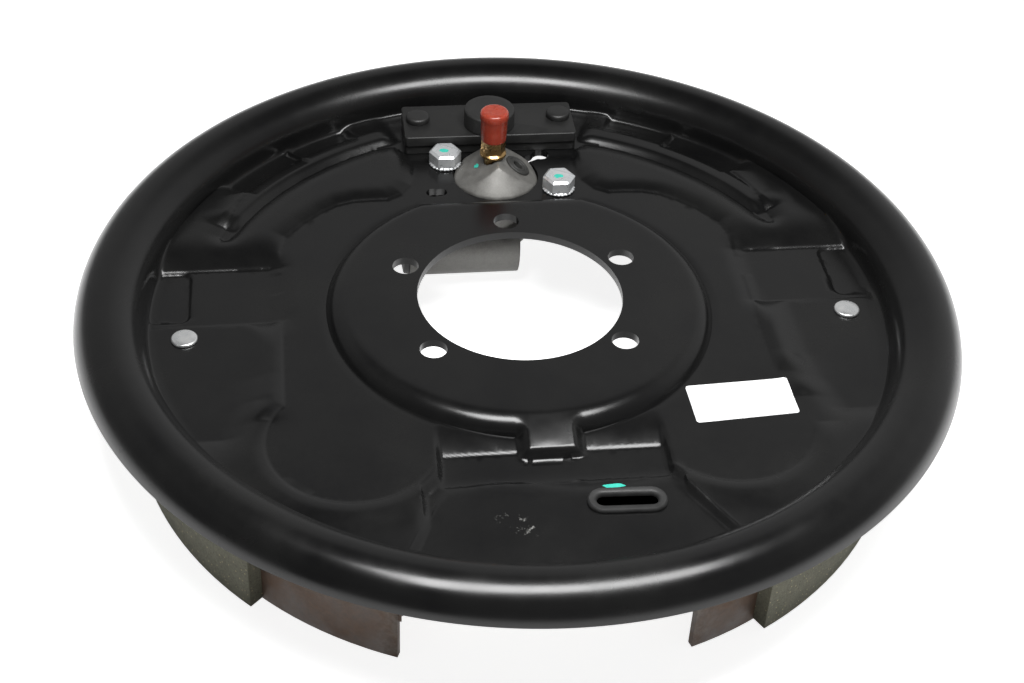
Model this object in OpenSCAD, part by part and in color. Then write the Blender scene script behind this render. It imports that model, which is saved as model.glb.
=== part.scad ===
// Hydraulic trailer drum brake, seen from its inboard side
// +Z is the axle line pointing inboard, +Y points from the axle to the anchor post

/* [Backing plate] */
// Outer radius of the rolled lip
lip_r = 170; // [162:0.5:178]
// Radius of the lip's rolled section, outside face
lip_section_r = 13; // [10:0.5:15]
// Height of the middle of the lip's section above the hub face
lip_z = -2.3; // [-4:0.1:0]
// How far short of its widest point the lip's outer wall is cut
lip_cut_rise = 2.8; // [1.5:0.1:5]
// Thickness of the pressed sheet
sheet_t = 3.2; // [2.6:0.1:3.6]
// Depth of the pan below the hub face
pan_depth = 5; // [4:0.1:6]
// Radius of the centre bore
bore_r = 40; // [34:0.5:42]
// Radius of the foot of the raised hub face
hub_r = 75; // [70:0.5:78]
// Radius of the rounded shoulder of the hub face
hub_shoulder_r = 8; // [6:0.5:10]
// Distance from the axle to the foot of the hub's flat side
hub_flat_y = 66.5; // [64:0.5:70]

/* [Axle flange holes] */
// Radius of the circle that the five flange holes lie on
flange_circle_r = 47.8; // [47:0.1:56]
// Radius of a flange hole
flange_hole_r = 5.2; // [4.5:0.1:5.4]
// Angle from the top hole to each upper hole
flange_upper_angle = 64.6; // [58:0.1:72]
// Angle from the top hole to each lower hole
flange_lower_angle = 130.6; // [120:0.1:135]

/* [Embossings] */
// Depth of the side ledges below the pan
ledge_depth = 3.6; // [3:0.1:4.5]
// Distance from the axle line to the inner end of a side ledge
ledge_x = 93; // [90:0.5:98]
// Height of the far edge of a side ledge
ledge_top_y = 31; // [26:0.5:34]
// Height of the near edge of a side ledge
ledge_low_y = -3; // [-4:0.5:1]
// Depth of the coined seat at the outer end of a ledge
seat_depth = 0.6; // [0.3:0.05:0.9]
// Distance from the axle line to the coined seat
seat_x = 127.5; // [122:0.5:132]
// Depth of the curved channels beside the anchor
channel_depth = 2.6; // [1.8:0.1:3.2]
// Depth of the two upper ledges below the pan
upper_ledge_depth = 2.8; // [2:0.1:3.4]
// Radius of the middle line of the curved channels
channel_r = 111.5; // [109:0.5:113]
// Half the width of a curved channel at its floor
channel_half_w = 8; // [6:0.5:9]
// Depth of the lower apron below the pan
apron_depth = 1.8; // [1.2:0.1:2.4]
// Distance from the middle to the side of the centre panel
panel_x = 92; // [88:0.5:94]
// Distance from the axle down to the centre panel's lower edge
panel_low_y = 81; // [78:0.5:86]
// Radius of the two lower lobes of the centre panel
lobe_r = 31; // [27:0.5:33]
// Sideways distance from the middle to each lobe
lobe_x = 68; // [64:0.5:70]
// Distance from the axle down to the lobes
lobe_y = 73; // [70:0.5:76]
// Depth of the adjuster panel below the pan
adjuster_panel_depth = 3.3; // [2.6:0.1:3.5]
// Distance from the axle down to the top of the adjuster panel
adjuster_panel_y = 98; // [94:0.5:100]
// Half the angle that the adjuster panel spans
adjuster_panel_angle = 23; // [20:0.5:26]
// Radius of the dimple in the hub's near shoulder
dimple_r = 11; // [9:0.5:12]

/* [Anchor] */
// Distance from the axle to the anchor post
anchor_y = 115; // [114:0.5:117]
// Radius of the anchor post's shank
post_r = 8; // [7:0.1:9]
// Radius of the anchor post's head
post_head_r = 11; // [10:0.25:12]
// Height of the anchor post's head
post_head_h = 8; // [6:0.5:10]
// Width of the two anchor plates
anchor_plate_w = 75; // [70:0.5:80]
// Depth of the upper anchor plate from front to back
anchor_plate_d = 26; // [22:0.5:28]
// Thickness of each anchor plate
anchor_plate_t = 4.6; // [3.5:0.1:5.5]
// Sideways distance from the post to each anchor rivet
rivet_x = 31; // [28:0.5:33]
// Radius of an anchor rivet's head
rivet_head_r = 5.2; // [4.5:0.1:6]

/* [Shoes] */
// Outer radius of the linings, shoes at rest
lining_r = 151; // [149:0.1:152]
// Thickness of a lining
lining_t = 6; // [4.5:0.1:7]
// Thickness of a shoe's table
table_t = 2.6; // [2:0.1:3.2]
// Width of a shoe's table
shoe_w = 40; // [38:0.5:44]
// Width of a lining
lining_w = 39; // [34:0.5:39.5]
// Thickness of a shoe's web
web_t = 5; // [4:0.1:6]
// Clearance between a shoe and the plate's ledges
shoe_gap = 0.3; // [0.2:0.05:0.6]

/* [Wheel cylinder] */
// Distance from the axle to the cylinder's axis
cyl_y = 83.5; // [82:0.25:86]
// Outer radius of the cylinder
cyl_r = 17; // [15.5:0.25:17.5]
// Radius of the cylinder's bore
cyl_bore_r = 11.11; // [9.5:0.01:12.7]
// Where the closed end of the cylinder lies
cyl_closed_x = 9.5; // [8:0.25:12]
// Length of the cylinder body
cyl_len = 47.5; // [44:0.5:50]
// Thickness of the cylinder's closed end
cyl_end_t = 5; // [4:0.25:7]
// Radius of the boss that passes through the plate
boss_r = 17.9; // [17:0.1:18.4]
// Distance from the axle to the boss
boss_y = 88.2; // [86:0.1:89]
// Height of the boss above the hub face
boss_top_z = 6.2; // [5:0.1:8]
// Tilt of the two flats on the boss
boss_flat_tilt = 33; // [28:0.5:38]
// Radial clearance of the piston in its bore
piston_gap = 0.06; // [0.03:0.01:0.1]
// Length of the piston
piston_len = 18; // [14:0.5:20]
// Radius of the push rod
push_rod_r = 5; // [4.4:0.1:5.5]

/* [Bleeder] */
// Radius of the bleeder's thread
bleeder_r = 3.5; // [3:0.1:4]
// Width across the flats of the bleeder's hexagon
bleeder_hex = 9; // [8:0.1:10]
// Outer radius of the bleeder's cap
cap_r = 6; // [5.4:0.1:6.5]
// Height of the bleeder's cap
cap_h = 14; // [12:0.5:16]

/* [Adjuster] */
// Distance from the axle down to the adjuster's axis
adj_y = 113; // [111:0.5:115]
// Where the middle of the star wheel lies
star_x = 24; // [22:0.25:25]
// Outer radius of the star wheel
star_r = 14; // [12.5:0.25:15]
// Number of teeth on the star wheel
star_teeth = 24; // [18:1:28]
// Thickness of the star wheel
star_t = 5; // [4:0.25:5.5]
// Radius of the adjuster screw's thread
screw_r = 4.5; // [4:0.1:5]
// Outer radius of the adjuster's nut and socket
adj_body_r = 7; // [6.5:0.1:8]
// Running clearance of the adjuster screw
adj_gap = 0.06; // [0.03:0.01:0.1]

/* [Hold-downs] */
// Sideways distance from the axle to a hold-down pin
hold_x = 129; // [127:0.5:130]
// Distance from the axle down to a hold-down pin
hold_y = 11; // [9:0.5:13]
// Radius of a hold-down pin
hold_pin_r = 2; // [1.8:0.1:2.4]
// Radius of a hold-down pin's head
hold_head_r = 5; // [4.5:0.1:5.5]
// Outer radius of a hold-down cup
hold_cup_r = 10; // [9:0.25:11]
// Wire thickness of a hold-down spring
hold_wire = 1.6; // [1.2:0.1:2]

/* [Springs] */
// Wire thickness of the return springs
return_wire = 2.4; // [2:0.1:2.8]
// Outer radius of the return springs' coils
return_coil_r = 5.4; // [4.5:0.1:6]
// Wire thickness of the adjuster spring
adj_wire = 2.2; // [1.8:0.1:2.4]
// Outer radius of the adjuster spring's coil
adj_coil_r = 4.6; // [4:0.1:5]

/* [Hidden] */

$fn = 96;
eps = 0.01;
over = 1;                                   // how far a cutter runs past the face it cuts

// Heights of the plate's faces; "top" is the inboard face
pan_top = -pan_depth;
pan_under = pan_top - sheet_t;
ledge_top = pan_top - ledge_depth;
ledge_under = ledge_top - sheet_t;
lip_mid_r = lip_r - lip_section_r;
lip_inner_r = lip_mid_r - lip_section_r;    // inboard face of the lip's inner wall
lip_under_r = lip_inner_r + sheet_t;        // outboard face of the lip's inner wall
skin_r = lip_under_r + 0.3;                 // outer edge of the embossings' undersides
skin_bend = sheet_t * tan(22.5);            // how far a bent wall's outer face stands out at its foot

// Shoes
shoe_top = ledge_under - shoe_gap;
shoe_mid = shoe_top - shoe_w / 2;
table_r = lining_r - lining_t;
table_in_r = table_r - table_t;
web_top = shoe_mid + web_t / 2;
web_under = shoe_mid - web_t / 2;
web_edge_r = table_in_r + table_t / 2;
web_in_r = 98;                              // inner edge of a web: a circle set off to its side
web_in_x = 14;
web_gap = 0.4;                              // clearance of a web in a fork or a notch
primary_table = [33, 157];                  // degrees from the anchor, at the two ends of the table
primary_lining_span = [52, 135];
secondary_table = [33, 161.5];
secondary_lining_span = [40, 151];
horn_y = cyl_y + cyl_r + 1.8;               // lower edge of the horn that meets the anchor post
horn_x = 3;
fork_x = 38.3;                              // ends of the webs in the adjuster's forks
lug_x = 56;                                 // face of the primary web that the push rod bears on
spring_hole = [78, 103];                    // return spring's hole in a web
adj_spring_hole = [62, -93];
spring_hole_r = 4.4;
hook_gap = 0.3;                             // between a spring's hook and the edge that it pulls on
hold_hole_r = 6.6;

// Anchor
plate_2_top = pan_top + anchor_plate_t;
plate_1_top = plate_2_top + anchor_plate_t;
anchor_front_y = anchor_y - 9.6;
rivet_y = anchor_y + 4.5;
guide_t = 2;
guide_top = web_under - 0.3;
guide_r = 12;
return_top = web_under - 0.4 - return_coil_r;   // middle of the secondary shoe's return spring
return_low = return_top - return_wire - 0.3;    // and of the primary shoe's, whose eye lies below it
groove_top = return_top + return_wire / 2 + 0.4;
groove_h = groove_top - return_low + return_wire / 2 + 0.4;
groove_r = post_r - 2;
post_end = groove_top - groove_h - 2.6;
shaft_gap = 0.1;                            // clearance of pins, bolts and rivets in their holes

// Wheel cylinder
cyl_open_x = cyl_closed_x - cyl_len;
boss_at = [0.3, boss_y];
bleeder_at = [-1.2, boss_y];
pad_top = pan_under - 0.1;
bolt_spots = [[-20.6, 98.9], [26, 77]];
bolt_r = 4;
bolt_hex = 12.2;
bolt_flange_r = 7.1;
flat_spot = [9.2, -0.6];                    // a point on the boss's flat, from the boss axis
port_r = 4.2;
port_depth = 8;
piston_x = cyl_open_x + 4;
fork_depth = 5.3;

// Adjuster
nut_left_x = -fork_x - fork_depth;
nut_right_x = 15;
stub_r = 4;
stub_len = 9;
socket_x = star_x + star_t / 2 + 0.3;
socket_end_x = fork_x + fork_depth;
adj_slot = [24.4, -108.7];                  // middle of the adjuster slot in the plate
adj_slot_size = [24, 8];
panel_top = pan_top - adjuster_panel_depth;

// Hold-downs
apron_top = pan_top - apron_depth;
hold_head_t = 1.3;
seat_t = 1;
hold_end = shoe_top - shoe_w + 1.8;         // outboard tip of a hold-down pin
cup_t = 1.2;
cup_depth = 3;
hold_spring_r = 7;
cup_top = hold_end + 1.5 + cup_t + cup_depth;

function polar(r, a) = [r * sin(a), r * cos(a)];

// Shared shapes

// A sector of a ring between two angles counted from +Y towards +X
module ring_sector(r_in, r_out, a0, a1, z0, z1) {
    rotate([0, 0, 90 - a1])
        rotate_extrude(angle = a1 - a0)
            translate([r_in, z0]) square([r_out - r_in, z1 - z0]);
}

// A trough that follows an arc, with walls at 45 degrees
module arc_trough(r, half_w, a0, a1, z_floor, z_top) {
    rise = z_top - z_floor;
    rotate([0, 0, 90 - a1])
        rotate_extrude(angle = a1 - a0)
            polygon([[r - half_w, z_floor], [r + half_w, z_floor],
                     [r + half_w + rise, z_top], [r - half_w - rise, z_top]]);
}

// A straight trough with round ends, with walls at 45 degrees
module straight_trough(p, q, half_w, z_floor, z_top) {
    rise = z_top - z_floor;
    run = q - p;
    for (c = [p, q])
        translate([c[0], c[1], z_floor])
            cylinder(h = rise, r1 = half_w + end_step, r2 = half_w + end_step + rise);
    translate([p[0], p[1], 0])
        rotate([0, 0, atan2(run[1], run[0])])
            rotate([90, 0, 90])
                linear_extrude(norm(run))
                    polygon([[-half_w, z_floor], [half_w, z_floor],
                             [half_w + rise, z_top], [-half_w - rise, z_top]]);
}

module stadium(length, width) {
    for (s = [-1, 1]) translate([s * (length - width) / 2, 0]) circle(d = width);
    square([length - width, width], center = true);
}

module both_sides() {
    children();
    mirror([1, 0, 0]) children();
}

// A bar along X between two places
module bar_x(x0, x1, r, y, z) {
    translate([x0, y, z]) rotate([0, 90, 0]) cylinder(h = x1 - x0, r = r);
}

// Backing plate

module lip_section() {
    inner_r = lip_section_r - sheet_t;
    difference() {
        translate([lip_mid_r, lip_z]) circle(lip_section_r);
        translate([lip_mid_r, lip_z]) circle(inner_r);
        translate([lip_inner_r - over, lip_z - lip_section_r - over])
            square([2 * lip_section_r + 2 * over, lip_section_r + over]);
        translate([lip_mid_r, lip_z - over]) square([lip_section_r + over, lip_cut_rise + over]);
    }
    translate([lip_inner_r, pan_under]) square([sheet_t, lip_z - pan_under]);
}

module pan_section() {
    fold_r = lip_z - pan_top;
    translate([bore_r, pan_under]) square([lip_inner_r + eps - bore_r, sheet_t]);
    difference() {
        translate([lip_inner_r - fold_r, pan_top - eps]) square([fold_r + eps, fold_r + eps]);
        translate([lip_inner_r - fold_r, lip_z]) circle(fold_r);
    }
}

module hub_solid(drop, flat_y) {
    top = -drop;
    shoulder = hub_shoulder_r - drop;
    mid_r = hub_r - sqrt(pow(hub_shoulder_r, 2) - pow(hub_shoulder_r - pan_depth, 2));
    intersection() {
        rotate_extrude() {
            translate([0, pan_under - drop]) square([mid_r, top - pan_under + drop]);
            intersection() {
                translate([mid_r, -hub_shoulder_r]) circle(shoulder);
                translate([mid_r, pan_under - drop]) square([hub_shoulder_r, top - pan_under + drop]);
            }
        }
        translate([-hub_r - over, 0, 0]) rotate([90, 0, 90]) linear_extrude(2 * hub_r + 2 * over)
            polygon([[-hub_r - over, pan_under - drop - over], [-hub_r - over, 2 * over],
                     [flat_y + pan_top - 2 * over, 2 * over],
                     [flat_y + pan_top - pan_under + drop + over, pan_under - drop - over]]);
    }
}

// The centre panel's outline, drawn in by a margin
module panel_outline(inset) {
    translate([-panel_x + inset, -panel_low_y + inset]) square([2 * (panel_x - inset), 2 * panel_x]);
    both_sides() translate([lobe_x, -lobe_y]) circle(lobe_r - inset);
}

module apron_outline(reach_r, inset) {
    difference() {
        circle(reach_r);
        translate([-lip_r, ledge_low_y]) square(2 * lip_r);
        panel_outline(inset);
    }
}

module adjuster_panel_outline(reach_r, grow) {
    spread = (adjuster_panel_y - grow) * tan(adjuster_panel_angle) + grow;
    foot = lip_r * tan(adjuster_panel_angle) + grow;
    intersection() {
        circle(reach_r);
        polygon([[-spread, -adjuster_panel_y + grow], [spread, -adjuster_panel_y + grow],
                 [foot, -lip_r], [-foot, -lip_r]]);
    }
}

module side_ledge(z_floor, z_top, grow, reach_r) {
    rise = z_top - z_floor;
    y0 = ledge_low_y + ledge_depth - grow;
    y1 = ledge_top_y - ledge_depth + grow;
    intersection() {
        translate([ledge_x - grow, 0, 0])
            rotate([90, 0, 90])
                linear_extrude(lip_r - ledge_x)
                    polygon([[y0, z_floor], [y1, z_floor], [y1 + rise, z_top], [y0 - rise, z_top]]);
        translate([0, 0, z_floor - over]) cylinder(h = rise + 2 * over, r = reach_r);
    }
}

channel_start = 31;                         // degrees from the anchor
channel_end = 67;
channel_nose = [[50, 97], [57, 84]];        // the blunt end beside the anchor
nose_half_w = 9.5;
end_step = 0.5;                             // how much wider a trough's round end is than its sides

module side_channel(z_floor, z_top, grow) {
    arc_trough(channel_r, channel_half_w + grow, channel_start, channel_end + grow, z_floor, z_top);
    straight_trough(channel_nose[0], channel_nose[1], nose_half_w + grow, z_floor, z_top);
}

upper_ledge_span = [26, 53];                // degrees from the anchor
upper_ledge_r = 133;

module upper_ledge(z_floor, z_top, grow, reach_r) {
    ring_sector(upper_ledge_r - grow, reach_r, upper_ledge_span[0] - grow / 2,
                upper_ledge_span[1] + grow / 2, z_floor, z_top);
}

module plate_skins() {
    both_sides() {
        side_ledge(ledge_under, pan_under + over, skin_bend, skin_r);
        side_channel(pan_under - channel_depth, pan_under + over, skin_bend);
        upper_ledge(pan_under - upper_ledge_depth, pan_under + over, sheet_t / 2, skin_r);
    }
    translate([0, 0, pan_under - apron_depth])
        linear_extrude(apron_depth + over) apron_outline(skin_r, sheet_t / 2);
    translate([0, 0, pan_under - adjuster_panel_depth])
        linear_extrude(adjuster_panel_depth + over)
            adjuster_panel_outline(skin_r, sheet_t / 2);
    dimple(dimple_r + sheet_t, pan_under - apron_depth + over);
}

module plate_cuts() {
    both_sides() {
        side_ledge(ledge_top, pan_top + over, 0, lip_inner_r);
        side_channel(pan_top - channel_depth, pan_top + over, 0);
        upper_ledge(pan_top - upper_ledge_depth, pan_top + over, 0, lip_inner_r);
        ledge_seat();
    }
    translate([0, 0, apron_top]) linear_extrude(apron_depth + over) apron_outline(lip_inner_r, 0);
    translate([0, 0, panel_top])
        linear_extrude(adjuster_panel_depth + over) adjuster_panel_outline(lip_inner_r, 0);
}

// Coined seat at the outer end of a side ledge, narrower towards the near side
module ledge_seat() {
    intersection() {
        translate([0, 0, ledge_top - seat_depth])
            linear_extrude(ledge_depth)
                polygon([[seat_x, ledge_low_y + ledge_depth], [lip_r, ledge_low_y + ledge_depth],
                         [lip_r, ledge_top_y - ledge_depth], [seat_x, ledge_top_y - ledge_depth]]);
        translate([0, 0, ledge_top - over]) cylinder(h = ledge_depth, r = lip_inner_r - 1.5);
    }
}

// A short trough across the hub's near shoulder, open at its top
module dimple(r, z_limit) {
    intersection() {
        translate([1, -hub_r + 3, r + apron_top - (r - dimple_r)])
            rotate([90, 0, 0]) cylinder(h = panel_low_y - hub_r + 4, r = r);
        translate([-lip_r, -lip_r, z_limit - 4 * sheet_t])
            cube([2 * lip_r, 2 * lip_r, 4 * sheet_t]);
    }
}

module flange_holes() {
    for (a = [0, flange_upper_angle, -flange_upper_angle, flange_lower_angle, -flange_lower_angle])
        translate([polar(flange_circle_r, a)[0], polar(flange_circle_r, a)[1], -sheet_t - over])
            cylinder(h = sheet_t + 2 * over, r = flange_hole_r);
}

module plate_hole(x, y, r) {
    translate([x, y, ledge_under - over]) cylinder(h = ledge_depth + 3 * sheet_t + 2 * over, r = r);
}

module backing_plate() color([0.12, 0.12, 0.12]) {
    difference() {
        union() {
            rotate_extrude() { pan_section(); lip_section(); }
            hub_solid(0, hub_flat_y);
            plate_skins();
        }
        hub_solid(sheet_t, hub_flat_y - sheet_t * sqrt(2));
        plate_cuts();
        dimple(dimple_r, 2);
        translate([0, 0, ledge_under]) cylinder(h = ledge_depth + 4 * sheet_t, r = bore_r);
        flange_holes();
        plate_hole(boss_at[0], boss_at[1], boss_r + 0.4);
        for (spot = bolt_spots) plate_hole(spot[0], spot[1], bolt_r + 0.3);
        plate_hole(0, anchor_y, post_r + shaft_gap);
        both_sides() {
            plate_hole(rivet_x, rivet_y, rivet_head_r - 1.2 + shaft_gap);
            plate_hole(hold_x, -hold_y, hold_pin_r + 0.6);
        }
        translate([-26, 77, ledge_under]) linear_extrude(4 * sheet_t) stadium(8, 5);
        translate([20.5, 102.6, ledge_under]) linear_extrude(4 * sheet_t) {
            circle(3.6);
            rotate([0, 0, 30]) translate([-3, 0]) stadium(9, 4);
        }
        translate([adj_slot[0], adj_slot[1], ledge_under - over])
            linear_extrude(4 * sheet_t) stadium(adj_slot_size[0], adj_slot_size[1]);
    }
}

// Anchor

module anchor_bar(front_y, top_z) {
    translate([-anchor_plate_w / 2, front_y, top_z - anchor_plate_t])
        cube([anchor_plate_w, anchor_front_y + anchor_plate_d - front_y, anchor_plate_t]);
}

module anchor_bar_holes() {
    translate([0, anchor_y, pan_under]) cylinder(h = 20, r = post_r + shaft_gap);
    both_sides() translate([rivet_x, rivet_y, pan_under]) cylinder(h = 20, r = rivet_head_r - 1.2 + shaft_gap);
}

module anchor_plate() color([0.14, 0.14, 0.14]) difference() {
    anchor_bar(anchor_front_y, plate_1_top);
    anchor_bar_holes();
}

module anchor_backup_plate() color([0.11, 0.11, 0.11]) difference() {
    anchor_bar(anchor_front_y + 1.1, plate_2_top);
    anchor_bar_holes();
}

module anchor_rivets() color([0.14, 0.14, 0.14]) both_sides() translate([rivet_x, rivet_y, 0]) {
    head_h = 2.8;
    tail_h = 2.4;
    translate([0, 0, plate_1_top]) rotate_extrude() {
        square([rivet_head_r - 1, head_h]);
        square([rivet_head_r, head_h - 1]);
        translate([rivet_head_r - 1, head_h - 1]) circle(1);
    }
    translate([0, 0, pan_under - tail_h]) cylinder(h = plate_1_top - pan_under + tail_h + eps,
                                                 r = rivet_head_r - 1.2);
    translate([0, 0, pan_under - tail_h]) cylinder(h = tail_h, r1 = rivet_head_r - 0.6, r2 = rivet_head_r + 0.6);
}

module anchor_post() color([0.13, 0.13, 0.13]) translate([0, anchor_y, 0]) {
    edge = 1.2;
    rotate_extrude() {
        translate([0, plate_1_top]) square([post_head_r, post_head_h - edge]);
        translate([0, plate_1_top]) square([post_head_r - edge, post_head_h]);
        translate([post_head_r - edge, plate_1_top + post_head_h - edge]) circle(edge);
        translate([0, groove_top]) square([post_r, plate_1_top - groove_top + eps]);
        translate([0, post_end]) square([groove_r, groove_top - post_end + eps]);
        polygon([[0, post_end], [post_r + 0.6, post_end], [post_r + 1.2, post_end + 0.6],
                 [post_r + 1.2, groove_top - groove_h], [0, groove_top - groove_h]]);
    }
}

module shoe_guide_plate() color([0.35, 0.34, 0.3]) translate([0, anchor_y, guide_top - guide_t])
    difference() {
        linear_extrude(guide_t) {
            circle(guide_r);
            both_sides() translate([guide_r + 1, 0]) circle(5);
        }
        translate([0, 0, -over]) cylinder(h = guide_t + 2 * over, r = post_r + shaft_gap);
    }

// Wheel cylinder

// Everything on the boss's flat: +Z is the flat's normal, the origin is the port's mouth
module on_flat(side) {
    translate([boss_at[0] + side * flat_spot[0], boss_at[1], flat_spot[1]])
        rotate([0, side * boss_flat_tilt, 0]) children();
}

module cylinder_boss() {
    difference() {
        translate(boss_at) rotate_extrude()
            polygon([[0, pad_top - 4], [boss_r, pad_top - 4], [boss_r, pan_top + 0.4],
                     [boss_r - 1.3, pan_top + 2], [9.5, boss_top_z - 1.6], [8, boss_top_z - 0.4],
                     [7.2, boss_top_z], [0, boss_top_z]]);
        for (side = [-1, 1]) on_flat(side) translate([-boss_r, -boss_r, 0])
            cube([2 * boss_r, 2 * boss_r, boss_r]);
        translate([bolt_spots[0][0], bolt_spots[0][1], pan_top - 0.4])
            cylinder(h = 20, r = bolt_flange_r + 0.5);
    }
}

module cylinder_pad() {
    pad_h = 6;
    foot = boss_r + 1.5;
    translate([0, 0, pad_top - pad_h]) linear_extrude(pad_h) difference() {
        union() {
            translate(boss_at) circle(foot);
            for (spot = bolt_spots) translate(spot) circle(bolt_r + 5);
            polygon([[-28, 94], [-14, 107], [12, 103], [34, 80], [24, 68], [-12, 73]]);
        }
        translate([0, anchor_y]) circle(post_r + web_gap);
    }
    for (spot = bolt_spots) translate([spot[0], spot[1], pad_top - 13]) cylinder(h = 13, r = bolt_r + 4);
    translate([boss_at[0], cyl_y + 1.5, shoe_mid]) cylinder(h = pad_top - shoe_mid, r = cyl_r - 3);
}

module cylinder_body() color([0.62, 0.61, 0.58]) difference() {
    union() {
        bar_x(cyl_open_x, cyl_closed_x, cyl_r, cyl_y, shoe_mid);
        cylinder_pad();
        cylinder_boss();
    }
    bar_x(cyl_open_x - over, cyl_closed_x - cyl_end_t, cyl_bore_r, cyl_y, shoe_mid);
    translate([cyl_open_x + 3, cyl_y, shoe_mid]) rotate([0, 90, 0]) difference() {
        cylinder(h = 3, r = cyl_r + over);
        translate([0, 0, -over]) cylinder(h = 3 + 2 * over, r = cyl_r - 1.6);
    }
    for (spot = bolt_spots) translate([spot[0], spot[1], pad_top - 11])
        cylinder(h = 11 + over, r = bolt_r + shaft_gap);
    translate([bleeder_at[0], bleeder_at[1], pad_top - 9]) cylinder(h = 30, r = bleeder_r + shaft_gap);
    on_flat(1) translate([0, 0, -port_depth]) cylinder(h = port_depth + over, r = port_r);
}

module cylinder_bolts() color([0.8, 0.8, 0.8]) for (spot = bolt_spots) translate([spot[0], spot[1], 0]) {
    flange_t = 1.8;
    hex_h = 5;
    across = bolt_hex / cos(30);
    translate([0, 0, pan_top]) cylinder(h = flange_t, r1 = bolt_flange_r, r2 = bolt_flange_r - 0.8);
    intersection() {
        translate([0, 0, pan_top + flange_t - eps]) cylinder(h = hex_h, d = across, $fn = 6);
        translate([0, 0, pan_top + flange_t - eps])
            cylinder(h = hex_h, r1 = across / 2 + hex_h - 1, r2 = across / 2 - 1);
    }
    translate([0, 0, pad_top - 10]) cylinder(h = pan_top - pad_top + 10 + eps, r = bolt_r);
}

module cylinder_piston() color([0.7, 0.7, 0.68]) difference() {
    bar_x(piston_x, piston_x + piston_len, cyl_bore_r - piston_gap, cyl_y, shoe_mid);
    bar_x(piston_x - over, piston_x + 8, push_rod_r + 0.3, cyl_y, shoe_mid);
    translate([piston_x + piston_len - 5, cyl_y, shoe_mid]) rotate([0, 90, 0]) difference() {
        cylinder(h = 2, r = cyl_bore_r + over);
        translate([0, 0, -over]) cylinder(h = 2 + 2 * over, r = cyl_bore_r - 1.5);
    }
}

module piston_cup() color([0.05, 0.05, 0.05])
    translate([piston_x + piston_len, cyl_y, shoe_mid]) rotate([0, 90, 0]) rotate_extrude() {
        lip = cyl_bore_r - piston_gap;
        polygon([[0, 0], [lip, 0], [lip, 5.5], [lip - 1, 5.5], [lip - 3, 2.2], [0, 2.2]]);
    }

module cylinder_spring() color([0.6, 0.6, 0.6]) {
    start = piston_x + piston_len + 2.3;
    helix_spring([start, cyl_y, shoe_mid], 90, cyl_closed_x - cyl_end_t - 0.2 - start, 7.2, 1.2, 4);
}

module dust_boot() color([0.07, 0.07, 0.07])
    translate([cyl_open_x, cyl_y, shoe_mid]) rotate([0, -90, 0]) rotate_extrude() difference() {
        union() {
            translate([push_rod_r + 0.3, 7]) square([2.2, 3.6]);
            polygon([[cyl_r - 2.6, 0], [cyl_r - 0.6, 0], [cyl_r - 1, 2.4], [10.5, 3.4], [9.8, 5.2], [11.2, 6.2],
                     [7.5, 9.2], [push_rod_r + 0.3, 9.2], [push_rod_r + 0.3, 7.6], [8.2, 6.6], [7.9, 4.6],
                     [9.2, 1.8]]);
        }
        translate([0, -over]) square([push_rod_r + 0.25, 20]);
    }

module push_rod() color([0.45, 0.44, 0.4]) difference() {
    bar_x(-lug_x - fork_depth, piston_x + 7.7, push_rod_r, cyl_y, shoe_mid);
    translate([-lug_x - fork_depth - over, cyl_y - 10, shoe_mid - web_t / 2 - web_gap])
        cube([fork_depth + over + 0.4, 20, web_t + 2 * web_gap]);
}

module bleeder_screw() color([0.72, 0.55, 0.3]) translate(bleeder_at) difference() {
    union() {
        translate([0, 0, pad_top - 8]) cylinder(h = boss_top_z - pad_top + 9, r = bleeder_r);
        rotate_extrude() polygon([[0, boss_top_z + 0.1], [5.6, boss_top_z + 0.1],
                                  [5.6, boss_top_z + 1], [4.6, boss_top_z + 1.8], [0, boss_top_z + 1.8]]);
        translate([0, 0, boss_top_z + 1.7]) cylinder(h = 5.6, d = bleeder_hex / cos(30), $fn = 6);
        rotate_extrude() {
            top = boss_top_z + 7.2;
            polygon([[0, top], [2.9, top], [2.9, top + 2.5], [3.5, top + 3.1], [2.7, top + 7],
                     [3.3, top + 7.6], [2.4, top + 10.6], [0, top + 10.6]]);
        }
    }
    translate([0, 0, boss_top_z]) cylinder(h = 30, r = 1);
}

cap_base = boss_top_z + 7.5;

module bleeder_cap() color([0.75, 0.2, 0.13]) translate([bleeder_at[0], bleeder_at[1], cap_base]) rotate_extrude() {
    round_r = 1.6;
    wall_in = 3.7;
    difference() {
        union() {
            polygon([[0, 0], [cap_r - 0.7, 0], [cap_r, cap_h - 3], [cap_r, cap_h - round_r], [0, cap_h - round_r]]);
            translate([0, cap_h - round_r - eps]) square([cap_r - round_r, round_r + eps]);
            translate([cap_r - round_r, cap_h - round_r]) circle(round_r);
        }
        translate([-eps, -over]) square([wall_in + eps, cap_h - 2.4 + over]);
        translate([-cap_r, -over]) square([cap_r, cap_h + 2 * over]);
    }
}

module inlet_plug() color([0.4, 0.4, 0.38]) on_flat(1) rotate_extrude() difference() {
    union() {
        translate([0, 0.05]) square([5.2, 0.9]);
        translate([0, 0.05]) square([5.8, 0.5]);
        translate([5.2, 0.62]) circle(0.45);
        translate([0, -6.6]) square([port_r - shaft_gap, 6.7]);
    }
    translate([-over, -5]) square([2.3 + over, 8]);
    translate([-10, -10]) square([10, 20]);
}

// Shoes: the primary is drawn on the right and mirrored

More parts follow.
